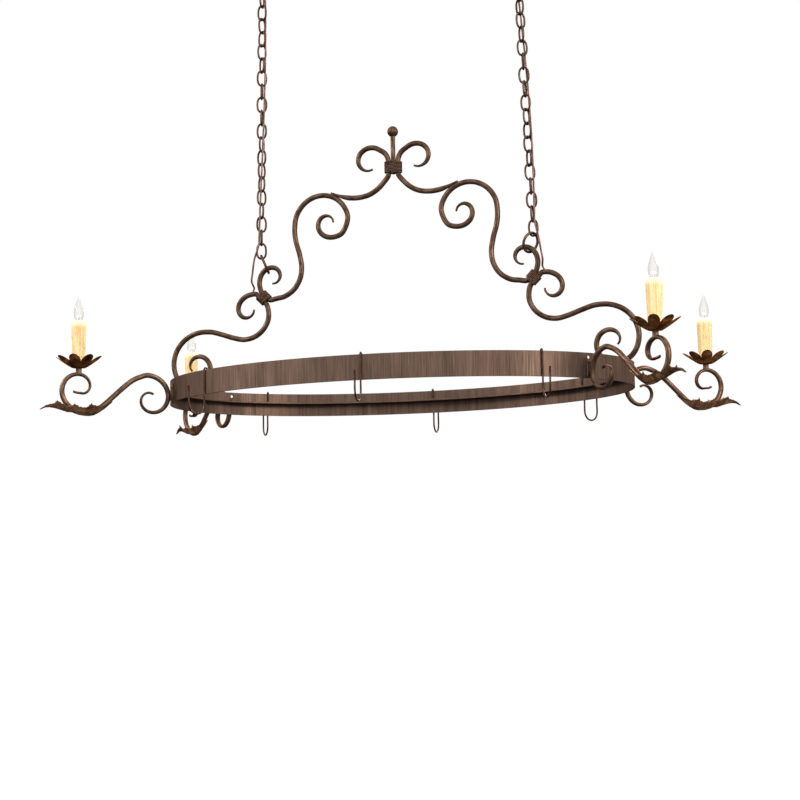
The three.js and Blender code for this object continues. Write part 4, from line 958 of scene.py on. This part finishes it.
def stem_and_eye(x, eye):
    neck, stem_top = eye + 2 * EYE_RADIUS - 1, CEILING_HEIGHT - 0.5
    stem_profile = [
        (0.01, neck), (STEM_RADIUS, neck), (STEM_RADIUS, CANOPY_BOTTOM - COLLAR_DEPTH),
        (COLLAR_RADIUS - 1, CANOPY_BOTTOM - COLLAR_DEPTH), (COLLAR_RADIUS, CANOPY_BOTTOM - COLLAR_DEPTH + 1),
        (COLLAR_RADIUS, CANOPY_BOTTOM - CLEAR - 1), (COLLAR_RADIUS - 1, CANOPY_BOTTOM - CLEAR),
        (STEM_RADIUS, CANOPY_BOTTOM - CLEAR), (STEM_RADIUS, stem_top), (0.01, stem_top),
    ]
    middle = np.array([x, 0, eye + EYE_RADIUS])
    loop = round_loop(middle, RIGHT, UP, EYE_RADIUS, EYE_RADIUS, EYE_WIRE, BACK)
    return turned(stem_profile, (x, 0), 32), loop


print("its eye is", 2 * EYE_RADIUS, "mm wide")

# %% Both canopies and loops
way_profile = [(CORD_WAY_RADIUS, CANOPY_BOTTOM - 9), (CORD_WAY_RADIUS, CEILING_HEIGHT + 9)]
for name, side in SIDES.items():
    links, step, up, eye = chain_run(side)
    x = side["sign"] * side["head"]
    canopy = make_piece(f"spun_canopy_{name}", dish(x), sharp=50)
    turned_by = turn(side["cord"] - (step + 90) * (LINK_COUNT - 2))
    way = (x + CORD_WAY_OUT * math.cos(turned_by), CORD_WAY_OUT * math.sin(turned_by))
    cut_away(canopy, make_piece("cord_way_drill", turned(way_profile, way, 28)))
    dress(canopy, f"ceiling_canopy_{name}", brown_iron)
    loop = make_piece(f"screwed_loop_{name}", *stem_and_eye(x, eye))
    dress(loop, f"hanging_loop_{name}", brown_iron)
    strap = frame["nodes"][f"canopy_bar_{name}"]
    strap.data.materials.clear()
    strap.data.materials.append(zinc_steel)
    print(name, "canopy:", len(canopy.data.polygons), "faces; eye at", round(eye, 1))

# %% [markdown]
# ## The lamp arms
# Each arm is one round bar: a scroll against the band, a hump, a hollow, and a second scroll whose top carries the
# lamp. It is welded to a small foot plate, which one round-headed screw holds to the band. The bar is drawn down to
# both tips as the arch's bars are, and its flattened ends curl like a fern.

# %% The arm's path and its small parts
ARM_RADIUS, ARM_TIP, ARM_TAPER, LAMP_OUT = 6.6, 2.8, 120.0, 236.0
ARM_RIBBON = (190, 3.0, 8.2, 24)
POST_FOOT, POST_TOP, NIPPLE_RADIUS, NIPPLE_TOP = 66, 81.0, 4.75, 90.0
PLATE_THICK, BOLT_HEIGHT, BOLT_RADIUS = 2, 38.8, 2.6
arm_path = (
    scroll((57.8, 6), (15.3, 60.6), (124, -275), 1.56)
    + [(83, 61.4), (102, 52.4), (120, 38.6), (152, 9.5), (170, -7), (186, -19.5)]
    + scroll((231.5, 31.5), (66.6, 13), (-116, 268), 0.76)
    + [(241, 19.3), (250, 22.5)]
)
SCREW_HEAD = [(0.01, 2.75), (2.2, 2.6), (3.6, 2.0), (4.4, 1.0), (4.6, 0), (0.01, 0)]
post_profile = [
    (0.01, POST_FOOT), (7.8, POST_FOOT), (7.4, 69), (7.2, 74), (7.4, 79), (7.8, 79.8), (7.8, POST_TOP),
    (NIPPLE_RADIUS, POST_TOP), (NIPPLE_RADIUS, NIPPLE_TOP), (0.01, NIPPLE_TOP),
]


def chamfered_block(seat, outs, half_width, heights, chamfer):
    rings = []
    low, high = heights
    for height, inset in ((low, chamfer), (low + chamfer, 0), (high - chamfer, 0), (high, chamfer)):
        near, far, side = outs[0], outs[1] - inset, half_width - inset
        corner = min(chamfer, side / 2)
        places = [(near, -side), (far - corner, -side), (far, corner - side)]
        places += [(out, -sideways) for out, sideways in places[::-1]]
        rings.append([on_seat(seat, out, sideways, height) for out, sideways in places])
    return skin(rings)


def lamp_axis(seat):
    return on_seat(seat, LAMP_OUT, 0, 0)[:2]


print("the arm's path has", len(arm_path), "points")

# %% The arms, and their screws
under_head = 2 * CLEAR + PLATE_THICK
for name, seat in SEATS.items():
    path = [on_seat(seat, out, 0, height) for out, height in arm_path]
    forged = bar(path, drawn_down(ARM_RADIUS, ARM_TAPER, ARM_TIP), sides=16, across=seat[2], ribbon=ARM_RIBBON)
    weld = chamfered_block(seat, outs=(CLEAR, 10), half_width=4.5, heights=(5, 28), chamfer=1.5)
    plate_outs = (CLEAR, CLEAR + PLATE_THICK)
    plate = chamfered_block(seat, outs=plate_outs, half_width=6.5, heights=(4, 44.8), chamfer=0.8)
    post = turned(post_profile, lamp_axis(seat), 36)
    arm = make_piece(f"forged_arm_{name}", forged, weld, plate, post)
    # the arms wear the lighter copy of the bars' finish, which is painted light
    dress(arm, f"lamp_arm_{name}", painted_light_arm_iron)
    head = across_seat(seat, BOLT_HEIGHT, [(r, under_head + out) for r, out in SCREW_HEAD])
    shank = across_seat(seat, BOLT_HEIGHT, [(BOLT_RADIUS, -5.2), (BOLT_RADIUS, 3.5)])
    screw = make_piece(f"round_head_screw_{name}", head, shank)
    dress(screw, f"arm_bolt_{name}", dark_sheet)
print("arms:", len(SEATS), "of", len(arm.data.polygons), "faces each")

# %% [markdown]
# ## Hammered leaves
# Under each arm lies a long leaf of sheet iron, folded into a trough with a toothed edge, then curled off beyond the
# arm. A leaf is a grid of points: along it go stations with their own width and height, between them the edge runs
# up and down in teeth, and across it the sheet is bent into a U. The grid is then given its thickness.


# %% A sheet with a thickness
def sheet(grid, thickness):
    grid = np.asarray(grid, float)
    along = np.gradient(grid, axis=0)
    over = np.gradient(grid, axis=1)
    normals = np.cross(along, over)
    normals /= np.maximum(np.linalg.norm(normals, axis=2, keepdims=True), 1e-9)
    if normals[..., 2].mean() <= 0:
        normals = -normals
    rows, cols = grid.shape[:2]
    points = np.concatenate([grid.reshape(-1, 3), (grid - normals * thickness).reshape(-1, 3)])
    low = rows * cols
    faces, uvs = [], []

    def place(v):
        return ((v % low) % cols / cols, (v % low) // cols / rows * 0.1)

    for i in range(rows - 1):
        for j in range(cols - 1):
            v = i * cols + j
            faces.append((v, v + 1, v + cols + 1, v + cols))
            faces.append((v + low, v + low + cols, v + low + cols + 1, v + low + 1))
    rim = list(range(cols)) + [i * cols + cols - 1 for i in range(1, rows)]
    rim += [(rows - 1) * cols + j for j in range(cols - 2, -1, -1)] + [i * cols for i in range(rows - 2, 0, -1)]
    for a, b in zip(rim, rim[1:] + rim[:1]):
        faces.append((a, a + low, b + low, b))
    for face in faces:
        uvs += [place(v) for v in face]
    return points, faces, uvs


# %% Stations along a leaf
LEAF_THICK, LEAF_CLEAR, LAST_SCROLL = 1.2, 1.1, 150  # the arm's last scroll lies beyond this distance
UNDER_ARM = None  # the leaf's spine follows the arm's underside there
LEAF_STATIONS = [  # out from the band, half width, height of the edge over the spine, height of the spine
    (154, 7.4, 4, UNDER_ARM), (172, 8.6, 9, UNDER_ARM), (186, 11.5, 16, UNDER_ARM), (199, 14, 24, UNDER_ARM),
    (207, 14.5, 31, UNDER_ARM), (212, 12.5, 23, UNDER_ARM), (224, 12, 20, UNDER_ARM), (236, 12.5, 20, UNDER_ARM),
    (247, 13.5, 23, UNDER_ARM), (252, 11.5, 18, UNDER_ARM), (264, 10, 13, -28.5), (278, 11.5, 16, -24),
    (290, 11.5, 20, -20.5), (296, 8.5, 11, -18.8), (308, 6.5, 7, -17.2), (318, 4.5, 4.5, -18), (331, 1.6, 1.5, -23.5),
]
arm_line = spline([(out, 0, height) for out, height in arm_path], steps=24)


def under_arm(out):
    reach = ARM_RADIUS + LEAF_CLEAR
    near = [p for p in arm_line if abs(p[0] - out) < reach and p[0] > LAST_SCROLL]
    return min(p[2] - math.sqrt(reach**2 - (p[0] - out) ** 2) for p in near)


leaf_ribs = np.array(
    [(out, half, edge, under_arm(out) if spine is UNDER_ARM else spine) for out, half, edge, spine in LEAF_STATIONS],
    float,
)
print("a leaf is", leaf_ribs[-1][0] - leaf_ribs[0][0], "mm long")

# %% The leaves
TOOTH_LENGTH, TOOTH_DEPTH, VEIN_HEIGHT, VEIN_SPACING, VEIN_SLANT = 8.5, 0.13, 0.4, 15, 26
LEAF_ROWS, LEAF_HALF_COLUMNS, TROUGH = 150, 8, 1.7  # a trough of 1 is a V, and more is a rounder U


def leaf(seat):
    outs = leaf_ribs[:, 0]
    grid = []
    for out in np.linspace(outs[0], outs[-1], LEAF_ROWS):
        half, edge, base = (np.interp(out, outs, leaf_ribs[:, k]) for k in (1, 2, 3))
        tooth = (out % TOOTH_LENGTH) / TOOTH_LENGTH
        row = []
        for k in range(-LEAF_HALF_COLUMNS, LEAF_HALF_COLUMNS + 1):
            s = k / LEAF_HALF_COLUMNS
            fold = abs(s) ** TROUGH
            ragged = 1 - TOOTH_DEPTH * tooth * abs(s) ** 6
            wave = math.cos(2 * math.pi * (out - VEIN_SLANT * abs(s)) / VEIN_SPACING)
            vein = VEIN_HEIGHT * wave * abs(s) * (1 - abs(s) ** 6)
            sideways = half * s * (0.66 + 0.34 * abs(s))
            row.append(on_seat(seat, out, sideways, base + edge * fold * ragged + vein))
        grid.append(row)
    return sheet(grid, LEAF_THICK)


for name, seat in SEATS.items():
    piece = make_piece(f"hammered_leaf_{name}", leaf(seat), sharp=60)
    dress(piece, f"leaf_{name}", leaf_sheet)
print("leaves of", len(piece.data.polygons), "faces each")

# %% [markdown]
# ## Drip pans
# Under each candle is a pan cut from sheet as a flower of eight petals, each dished with a ball hammer and bent up.
# Petals overlap at the middle and stand apart at their tips. Each is a sheet grid of its own, and a disc joins them.

# %% The petals
PAN_CORE, PAN_RADIUS, PAN_RISE, PAN_THICK = 17.5, 57.0, 27.0, 1.2
PETAL_COUNT, PETAL_START, PETAL_CUP, PETAL_CREASE, PETAL_OVERLAP, NIPPLE_HOLE = 8, 9, 3.6, 0.5, 0.5, 5.1
PETAL_ROWS, PETAL_HALF_COLUMNS = 24, 5
PETAL_OUTLINE = [  # out from the lamp's axis, and half the width there
    (PETAL_START, 7.5), (17, 8.4), (25, 10.8), (33, 12.9), (40, 13.5), (46, 12.4), (51, 10), (55, 6.2),
    (PAN_RADIUS, 1.2),
]
petal_line = spline([(out, half, 0) for out, half in PETAL_OUTLINE])


def petal(seat, number, start):
    angle = math.atan2(seat[1][1], seat[1][0]) + 2 * math.pi * (number + start) / PETAL_COUNT
    c, s = math.cos(angle), math.sin(angle)
    way, sideways = np.array([c, s, 0]), np.array([-s, c, 0])
    middle = np.array([*lamp_axis(seat), POST_TOP + CLEAR])
    grid = []
    for i in range(PETAL_ROWS + 1):
        t = i / PETAL_ROWS
        radius = PETAL_START + (PAN_RADIUS - PETAL_START) * t
        half = np.interp(radius, petal_line[:, 0], petal_line[:, 1])
        lift = PAN_RISE * max(0, (radius - PAN_CORE) / (PAN_RADIUS - PAN_CORE)) ** 1.15
        row = []
        for k in range(-PETAL_HALF_COLUMNS, PETAL_HALF_COLUMNS + 1):
            s = k / PETAL_HALF_COLUMNS
            cup = PETAL_CUP * s * s * math.sin(math.pi * t)
            crease = PETAL_CREASE * (1 - min(1, abs(s) * 2.5)) * t
            height = PAN_THICK + lift + (cup + crease) + PETAL_OVERLAP * (number % 2)
            row.append(middle + way * radius + sideways * half * s + (0, 0, height))
        grid.append(row)
    return sheet(grid, PAN_THICK)


print("a petal is", 2 * max(half for out, half in PETAL_OUTLINE), "mm wide")

# %% The pans
TURNED_PANS = ("front_left", "back_right")  # screwed on half a petal further round than the others
pan_foot = POST_TOP + CLEAR
disc_profile = [
    (NIPPLE_HOLE, pan_foot), (PAN_CORE, pan_foot), (PAN_CORE + 1, pan_foot + 1), (PAN_CORE, pan_foot + PAN_THICK),
    (NIPPLE_HOLE, pan_foot + PAN_THICK),
]
for name, seat in SEATS.items():
    disc = turned(disc_profile, lamp_axis(seat), 48, closed=True)
    start = 0.5 if name in TURNED_PANS else 0
    petals = [petal(seat, number, start) for number in range(PETAL_COUNT)]
    dress(make_piece(f"petal_pan_{name}", disc, *petals, sharp=60), f"drip_pan_{name}", dark_sheet)
print("drip pans with", len(petals), "petals each")

# %% [markdown]
# ## Candles and bulbs
# A resin sleeve stands in each pan, round the porcelain socket, with runs of wax down its sides that end in drops,
# and an uneven rim. A flame-shaped clear bulb stands in the socket, with a glass stem and a glowing filament in it.


# %% The candle sleeves
SLEEVE_FOOT, SLEEVE_BORE, SLEEVE_ROWS, SLEEVE_SIDES = POST_TOP + 2 * CLEAR + PAN_THICK, 10.6, 56, 120
SLEEVE_RADIUS, SLEEVE_SPREAD = 15, 2.8
RUN_COUNT, RUN_THICK, DROP_THICK, RUN_EVENNESS = 11, 1.9, 0.5, 4
RIPPLE, RIPPLE_COUNT, RIM_SAG = 0.22, 24, 1.6


# Sines of large steps stand in for chance: they give each run a place, a length and a width of its own.
def wax_run(run, share, angles, phase):
    middle = 2 * math.pi * run / RUN_COUNT + 0.33 * math.sin(5 * run + phase)
    ends = 0.12 + 0.6 * (0.5 + 0.5 * math.sin(7.3 * run + 2 * phase))
    width = 0.17 + 0.06 * math.sin(3.1 * run + phase)
    gap = np.angle(np.exp(1j * (angles - middle)))
    there = 1 / (1 + math.exp(-(share - ends) * 60))
    drop = math.exp(-(((share - ends - 0.02) / 0.035) ** 2))
    return np.exp(-((gap / width) ** RUN_EVENNESS)) * (RUN_THICK * there + DROP_THICK * drop)


def sleeve(seat, phase):
    axis, angles = lamp_axis(seat), circle(SLEEVE_SIDES)
    rings = []
    for i in range(SLEEVE_ROWS + 1):
        share = i / SLEEVE_ROWS
        body = SLEEVE_RADIUS + SLEEVE_SPREAD * share
        ridge = np.zeros(SLEEVE_SIDES)
        for run in range(RUN_COUNT):
            ridge = np.maximum(ridge, wax_run(run, share, angles, phase))
        low = 0.15 * np.sin(3 * angles + share * 5 + phase) + RIPPLE * np.cos(RIPPLE_COUNT * angles + phase)
        sag = RIM_SAG * share**12 * (0.5 + 0.5 * np.sin(4 * angles + 2.0 * phase) * np.cos(3 * angles))
        height = SLEEVE_FOOT + (SLEEVE_TOP - SLEEVE_FOOT) * share - sag
        rings.append(level_ring(axis, body + ridge + low, angles, height))
    rim = rings[-1][:, 2]
    for radius, drop in ((17.0, 0.0), (13.4, 0.8), (SLEEVE_BORE, 1.4)):
        rings.append(level_ring(axis, radius, angles, rim - drop))
    rings.append(level_ring(axis, SLEEVE_BORE, angles, SLEEVE_FOOT))
    return skin(rings, closed=True)


for number, (name, seat) in enumerate(SEATS.items()):
    piece = make_piece(f"resin_candle_{name}", sleeve(seat, 1.7 * number), sharp=60)
    dress(piece, f"candle_sleeve_{name}", candle_resin)
    socket = frame["nodes"][f"lamp_socket_{name}"]
    socket.data.materials.clear()
    socket.data.materials.append(glazed_porcelain)
print("candles of", len(piece.data.polygons), "faces each")

# %% A bulb's glass and its cap
SOCKET_TOP, BULB_TIP, GLASS_THICK, SOLID_TIP = 190.0, 262.5, 0.7, 4
GLASS_PROFILE = [  # radius, and height over the socket's top
    (6.0, -3), (6.0, 2), (6.6, 5), (8.6, 10), (10.6, 15), (12.0, 21.5), (12.55, 28), (12.1, 35), (10.8, 41), (9.0, 47),
    (7.0, 53), (5.0, 59), (3.2, 64.5), (1.8, 69), (0.7, 72), (0.02, 72.5),
]
CAP_PROFILE = [(0.01, -21), (5.4, -21), (6, -19), (6, -3.2), (0.01, -3.2)]
STEM_PROFILE = [(0.01, -3), (3.2, -3), (2.6, 4), (1.2, 11), (0.9, 15), (0.01, 15.5)]


def over_socket(profile, axis, segments):
    return turned([(r, SOCKET_TOP + h) for r, h in profile], axis, segments)


def bulb(axis):
    line = spline([(r, 0, SOCKET_TOP + h) for r, h in GLASS_PROFILE], steps=3)
    outside = [(max(p[0], 0.02), p[2]) for p in line]
    inside = [(max(r - GLASS_THICK, 0.01), min(z, BULB_TIP - SOLID_TIP)) for r, z in outside]
    return turned(outside + inside[::-1], axis, 48, closed=True)


print("a bulb is", 2 * max(r for r, h in GLASS_PROFILE), "mm wide")

# %% Its filament on four wires
COIL_COUNT, COIL_POINTS, COIL_RADIUS, COIL_WIRE = 26, 96, 0.55, 0.33
LOOP_RADIUS, LOOP_HEIGHT, LOOP_SHARE = 3.6, SOCKET_TOP + 21, 0.9
SUPPORT_COUNT, SUPPORT_TURN, SUPPORT_RADIUS, SUPPORT_WIRE = 4, 0.3, 3.7, 0.22
SUPPORT_KNOTS = ((0.2, 12), (0.8, 17), (1, 21))  # share of that radius, and height over the socket


def filament(axis):
    points = []
    for i in range(COIL_POINTS + 1):
        t = i / COIL_POINTS
        angle = 2 * math.pi * t * LOOP_SHARE
        coil = 2 * math.pi * COIL_COUNT * t
        radius, height = LOOP_RADIUS + COIL_RADIUS * math.cos(coil), LOOP_HEIGHT + COIL_RADIUS * math.sin(coil)
        points.append((axis[0] + radius * math.cos(angle), axis[1] + radius * math.sin(angle), height))
    return bar(points, lambda a, b: COIL_WIRE, sides=6, across=(0, 0, 1), step=0.4)


def supports(axis):
    rods = []
    for k in range(SUPPORT_COUNT):
        angle = 2 * math.pi * SUPPORT_TURN * k
        x, y = SUPPORT_RADIUS * math.cos(angle), SUPPORT_RADIUS * math.sin(angle)
        points = [(axis[0] + x * share, axis[1] + y * share, SOCKET_TOP + h) for share, h in SUPPORT_KNOTS]
        rods.append(bar(points, lambda a, b: SUPPORT_WIRE, sides=6, across=(-y, x, 0.3), step=1.0))
    return rods


print("a filament has", COIL_COUNT, "coils")

# %% The flame bulbs
for name, seat in SEATS.items():
    axis = lamp_axis(seat)
    glass = make_piece(f"bulb_glass_{name}", bulb(axis))
    dress(glass, f"flame_bulb_{name}", bulb_glass)
    for piece, finish in (
        (make_piece(f"bulb_cap_{name}", over_socket(CAP_PROFILE, axis, 36)), zinc_steel),
        (make_piece(f"bulb_stem_{name}", over_socket(STEM_PROFILE, axis, 24), *supports(axis)), zinc_steel),
        (make_piece(f"bulb_filament_{name}", filament(axis)), hot_tungsten),
    ):
        piece.data.materials.append(finish)
        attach(piece, "hanging_rack")
print("bulbs of", len(glass.data.polygons), "faces of glass")

# %% [markdown]
# ## Pot hooks
# Six hooks of plain wire hang over the band's edge and slide along it: a short tail inside, a tight saddle over the
# top edge, a long stem outside, and a J turned outwards for a pan's handle. Their ends are cut square and filed.

# %% The hooks
HOOK_WIRE, HOOK_SLACK, HOOK_DROP, HOOK_GAP, HOOK_RETURN, HOOK_TAIL = 4.5, 1.0, 112.0, 45.0, 70.0, 20.0
FACET_SAG = 0.2  # how far inside the true oval the CAD band's flats stay, on average
HOOK_PLACES = {  # degrees round the ellipse
    "front_left": 229.75, "front_centre": 274.75, "front_right": 318,
    "back_left": 140.25, "back_centre": 93.25, "back_right": 47,
}


def hook_path():
    radius = HOOK_WIRE / 2
    bend, middle = BAND_THICK / 2 + HOOK_SLACK + radius, -BAND_THICK / 2
    stem, bottom, bowl = middle + bend, BAND_HEIGHT - HOOK_DROP + radius, HOOK_GAP / 2
    return (
        [(middle - bend, BAND_HEIGHT - HOOK_TAIL), (middle - bend, BAND_HEIGHT - HOOK_TAIL / 2)]
        + scroll((middle, BAND_HEIGHT - 1), (bend, bend), (180, 0))
        + [(stem, BAND_HEIGHT - 12), (stem, bottom + bowl + 18)]
        + scroll((stem + bowl, bottom + bowl), (bowl, bowl), (180, 360))
        + [(stem + HOOK_GAP, bottom + HOOK_RETURN - 14), (stem + HOOK_GAP + 2, bottom + HOOK_RETURN - radius)]
    )


for name, place in HOOK_PLACES.items():
    c, s = math.cos(turn(place)), math.sin(turn(place))
    out = np.array([RING_HALF_WIDTH * c, RING_END * s, 0])
    out /= np.linalg.norm(out)
    on_band = np.array([RING_END * c, RING_HALF_WIDTH * s, 0]) - out * FACET_SAG
    seat = (on_band, out, np.array([-out[1], out[0], 0]))
    path = [on_seat(seat, o, 0, h) for o, h in hook_path()]
    wire = bar(path, lambda a, b: HOOK_WIRE / 2, sides=14, across=seat[2], step=1.6)
    dress(make_piece(f"wire_hook_{name}", wire), f"pot_hook_{name}", hook_wire)
print("hooks:", len(HOOK_PLACES))

# %% [markdown]
# ## Studio
# The picture was made on white. The rack hangs, so a pale floor lies well below it, and a white sky stands all
# round. Both look white to the camera and through the glass, but light the iron less from below than from above, as
# they would in a room: the Light Path node tells the rays that are looked at from those that only bring light. Two
# large soft lights high on the left and right draw the bright lines along the round bars, a weak one in front fills
# the shadows, and one behind picks out the edges. The plain Standard view keeps white paper white.

# %% The floor
FLOOR_RADIUS, FLOOR_HEIGHT, FLOOR_SIDES = 40, -2.2, 64


def looked_at(tree):
    rays = add_node(tree, "LightPath").outputs
    either = add_node(tree, "Math", {"operation": "MAXIMUM"}, _0=rays["Is Camera Ray"], _1=rays["Is Transmission Ray"])
    return either.outputs[0]


floor_mesh = bpy.data.meshes.new("studio_floor")
floor_ring = [(FLOOR_RADIUS * math.cos(t), FLOOR_RADIUS * math.sin(t), FLOOR_HEIGHT) for t in circle(FLOOR_SIDES)]
floor_mesh.from_pydata(floor_ring, [], [tuple(range(FLOOR_SIDES))])
floor = bpy.data.objects.new("studio_floor", floor_mesh)
bpy.context.scene.collection.objects.link(floor)
pale_paper, tree, surface = new_material("pale_studio_paper")
where = add_node(tree, "TexCoord").outputs["Object"]
tooth = add_node(tree, "TexNoise", Vector=where, Scale=3.0, Detail=2.0)
white = add_node(tree, "ValToRGB", stops=[(0.3, "#f7f6f4"), (0.7, "#fafaf8")], Fac=tooth.outputs["Fac"])
seen = looked_at(tree)
paper = add_node(tree, "Mix", {"data_type": "RGBA"}, _0=seen, _6=linear("#4c4947"), _7=white.outputs["Color"])
connect(tree, surface, Base_Color=paper.outputs[2], Roughness=0.9, Specular_IOR_Level=0.1)
connect(tree, surface, Emission_Color=linear("#8c8b8a"), Emission_Strength=seen)
floor.data.materials.append(pale_paper)
print("floor at", FLOOR_HEIGHT, "m")

# %% The sky
bpy.context.scene.view_settings.view_transform = "Standard"
sky = bpy.data.worlds.new("studio_sky")
sky.use_nodes = True
tree = sky.node_tree
direction = add_node(tree, "TexCoord").outputs["Generated"]
height = add_node(tree, "SeparateXYZ", Vector=direction).outputs["Z"]
ceiling_glow = add_node(tree, "MapRange", Value=height, From_Min=-0.6, From_Max=0.8, To_Min=0.2, To_Max=1.15)
strength = add_node(tree, "Mix", {"data_type": "FLOAT"}, _0=looked_at(tree), _2=ceiling_glow.outputs[0], _3=1.0)
connect(tree, tree.nodes["Background"], Color=linear("#ffffff"), Strength=strength.outputs[0])
bpy.context.scene.world = sky
print("sky:", sky.name)

# %% The lights
AIMED_AT = Vector((0, 0, -0.9))


def soft_light(name, place, size, watts, colour):
    data = bpy.data.lights.new(name, "AREA")
    data.shape, data.size, data.energy, data.color = "DISK", size, watts, linear(colour)[:3]
    lamp = bpy.data.objects.new(name, data)
    lamp.location = place
    lamp.rotation_euler = (AIMED_AT - lamp.location).to_track_quat("-Z", "Y").to_euler()
    bpy.context.scene.collection.objects.link(lamp)
    print(name, watts, "W")


soft_light("key_front", (0.6, -4.8, 0.6), 2.4, 30, "#fff9f2")
soft_light("key_left", (-3.6, -2.4, 0.9), 1.5, 120, "#fff8ee")
soft_light("fill_right", (3.8, -2.2, 0.6), 1.5, 150, "#fff4e8")
soft_light("back_rim", (0.6, 3.8, 0.9), 2.0, 130, "#fff8f0")
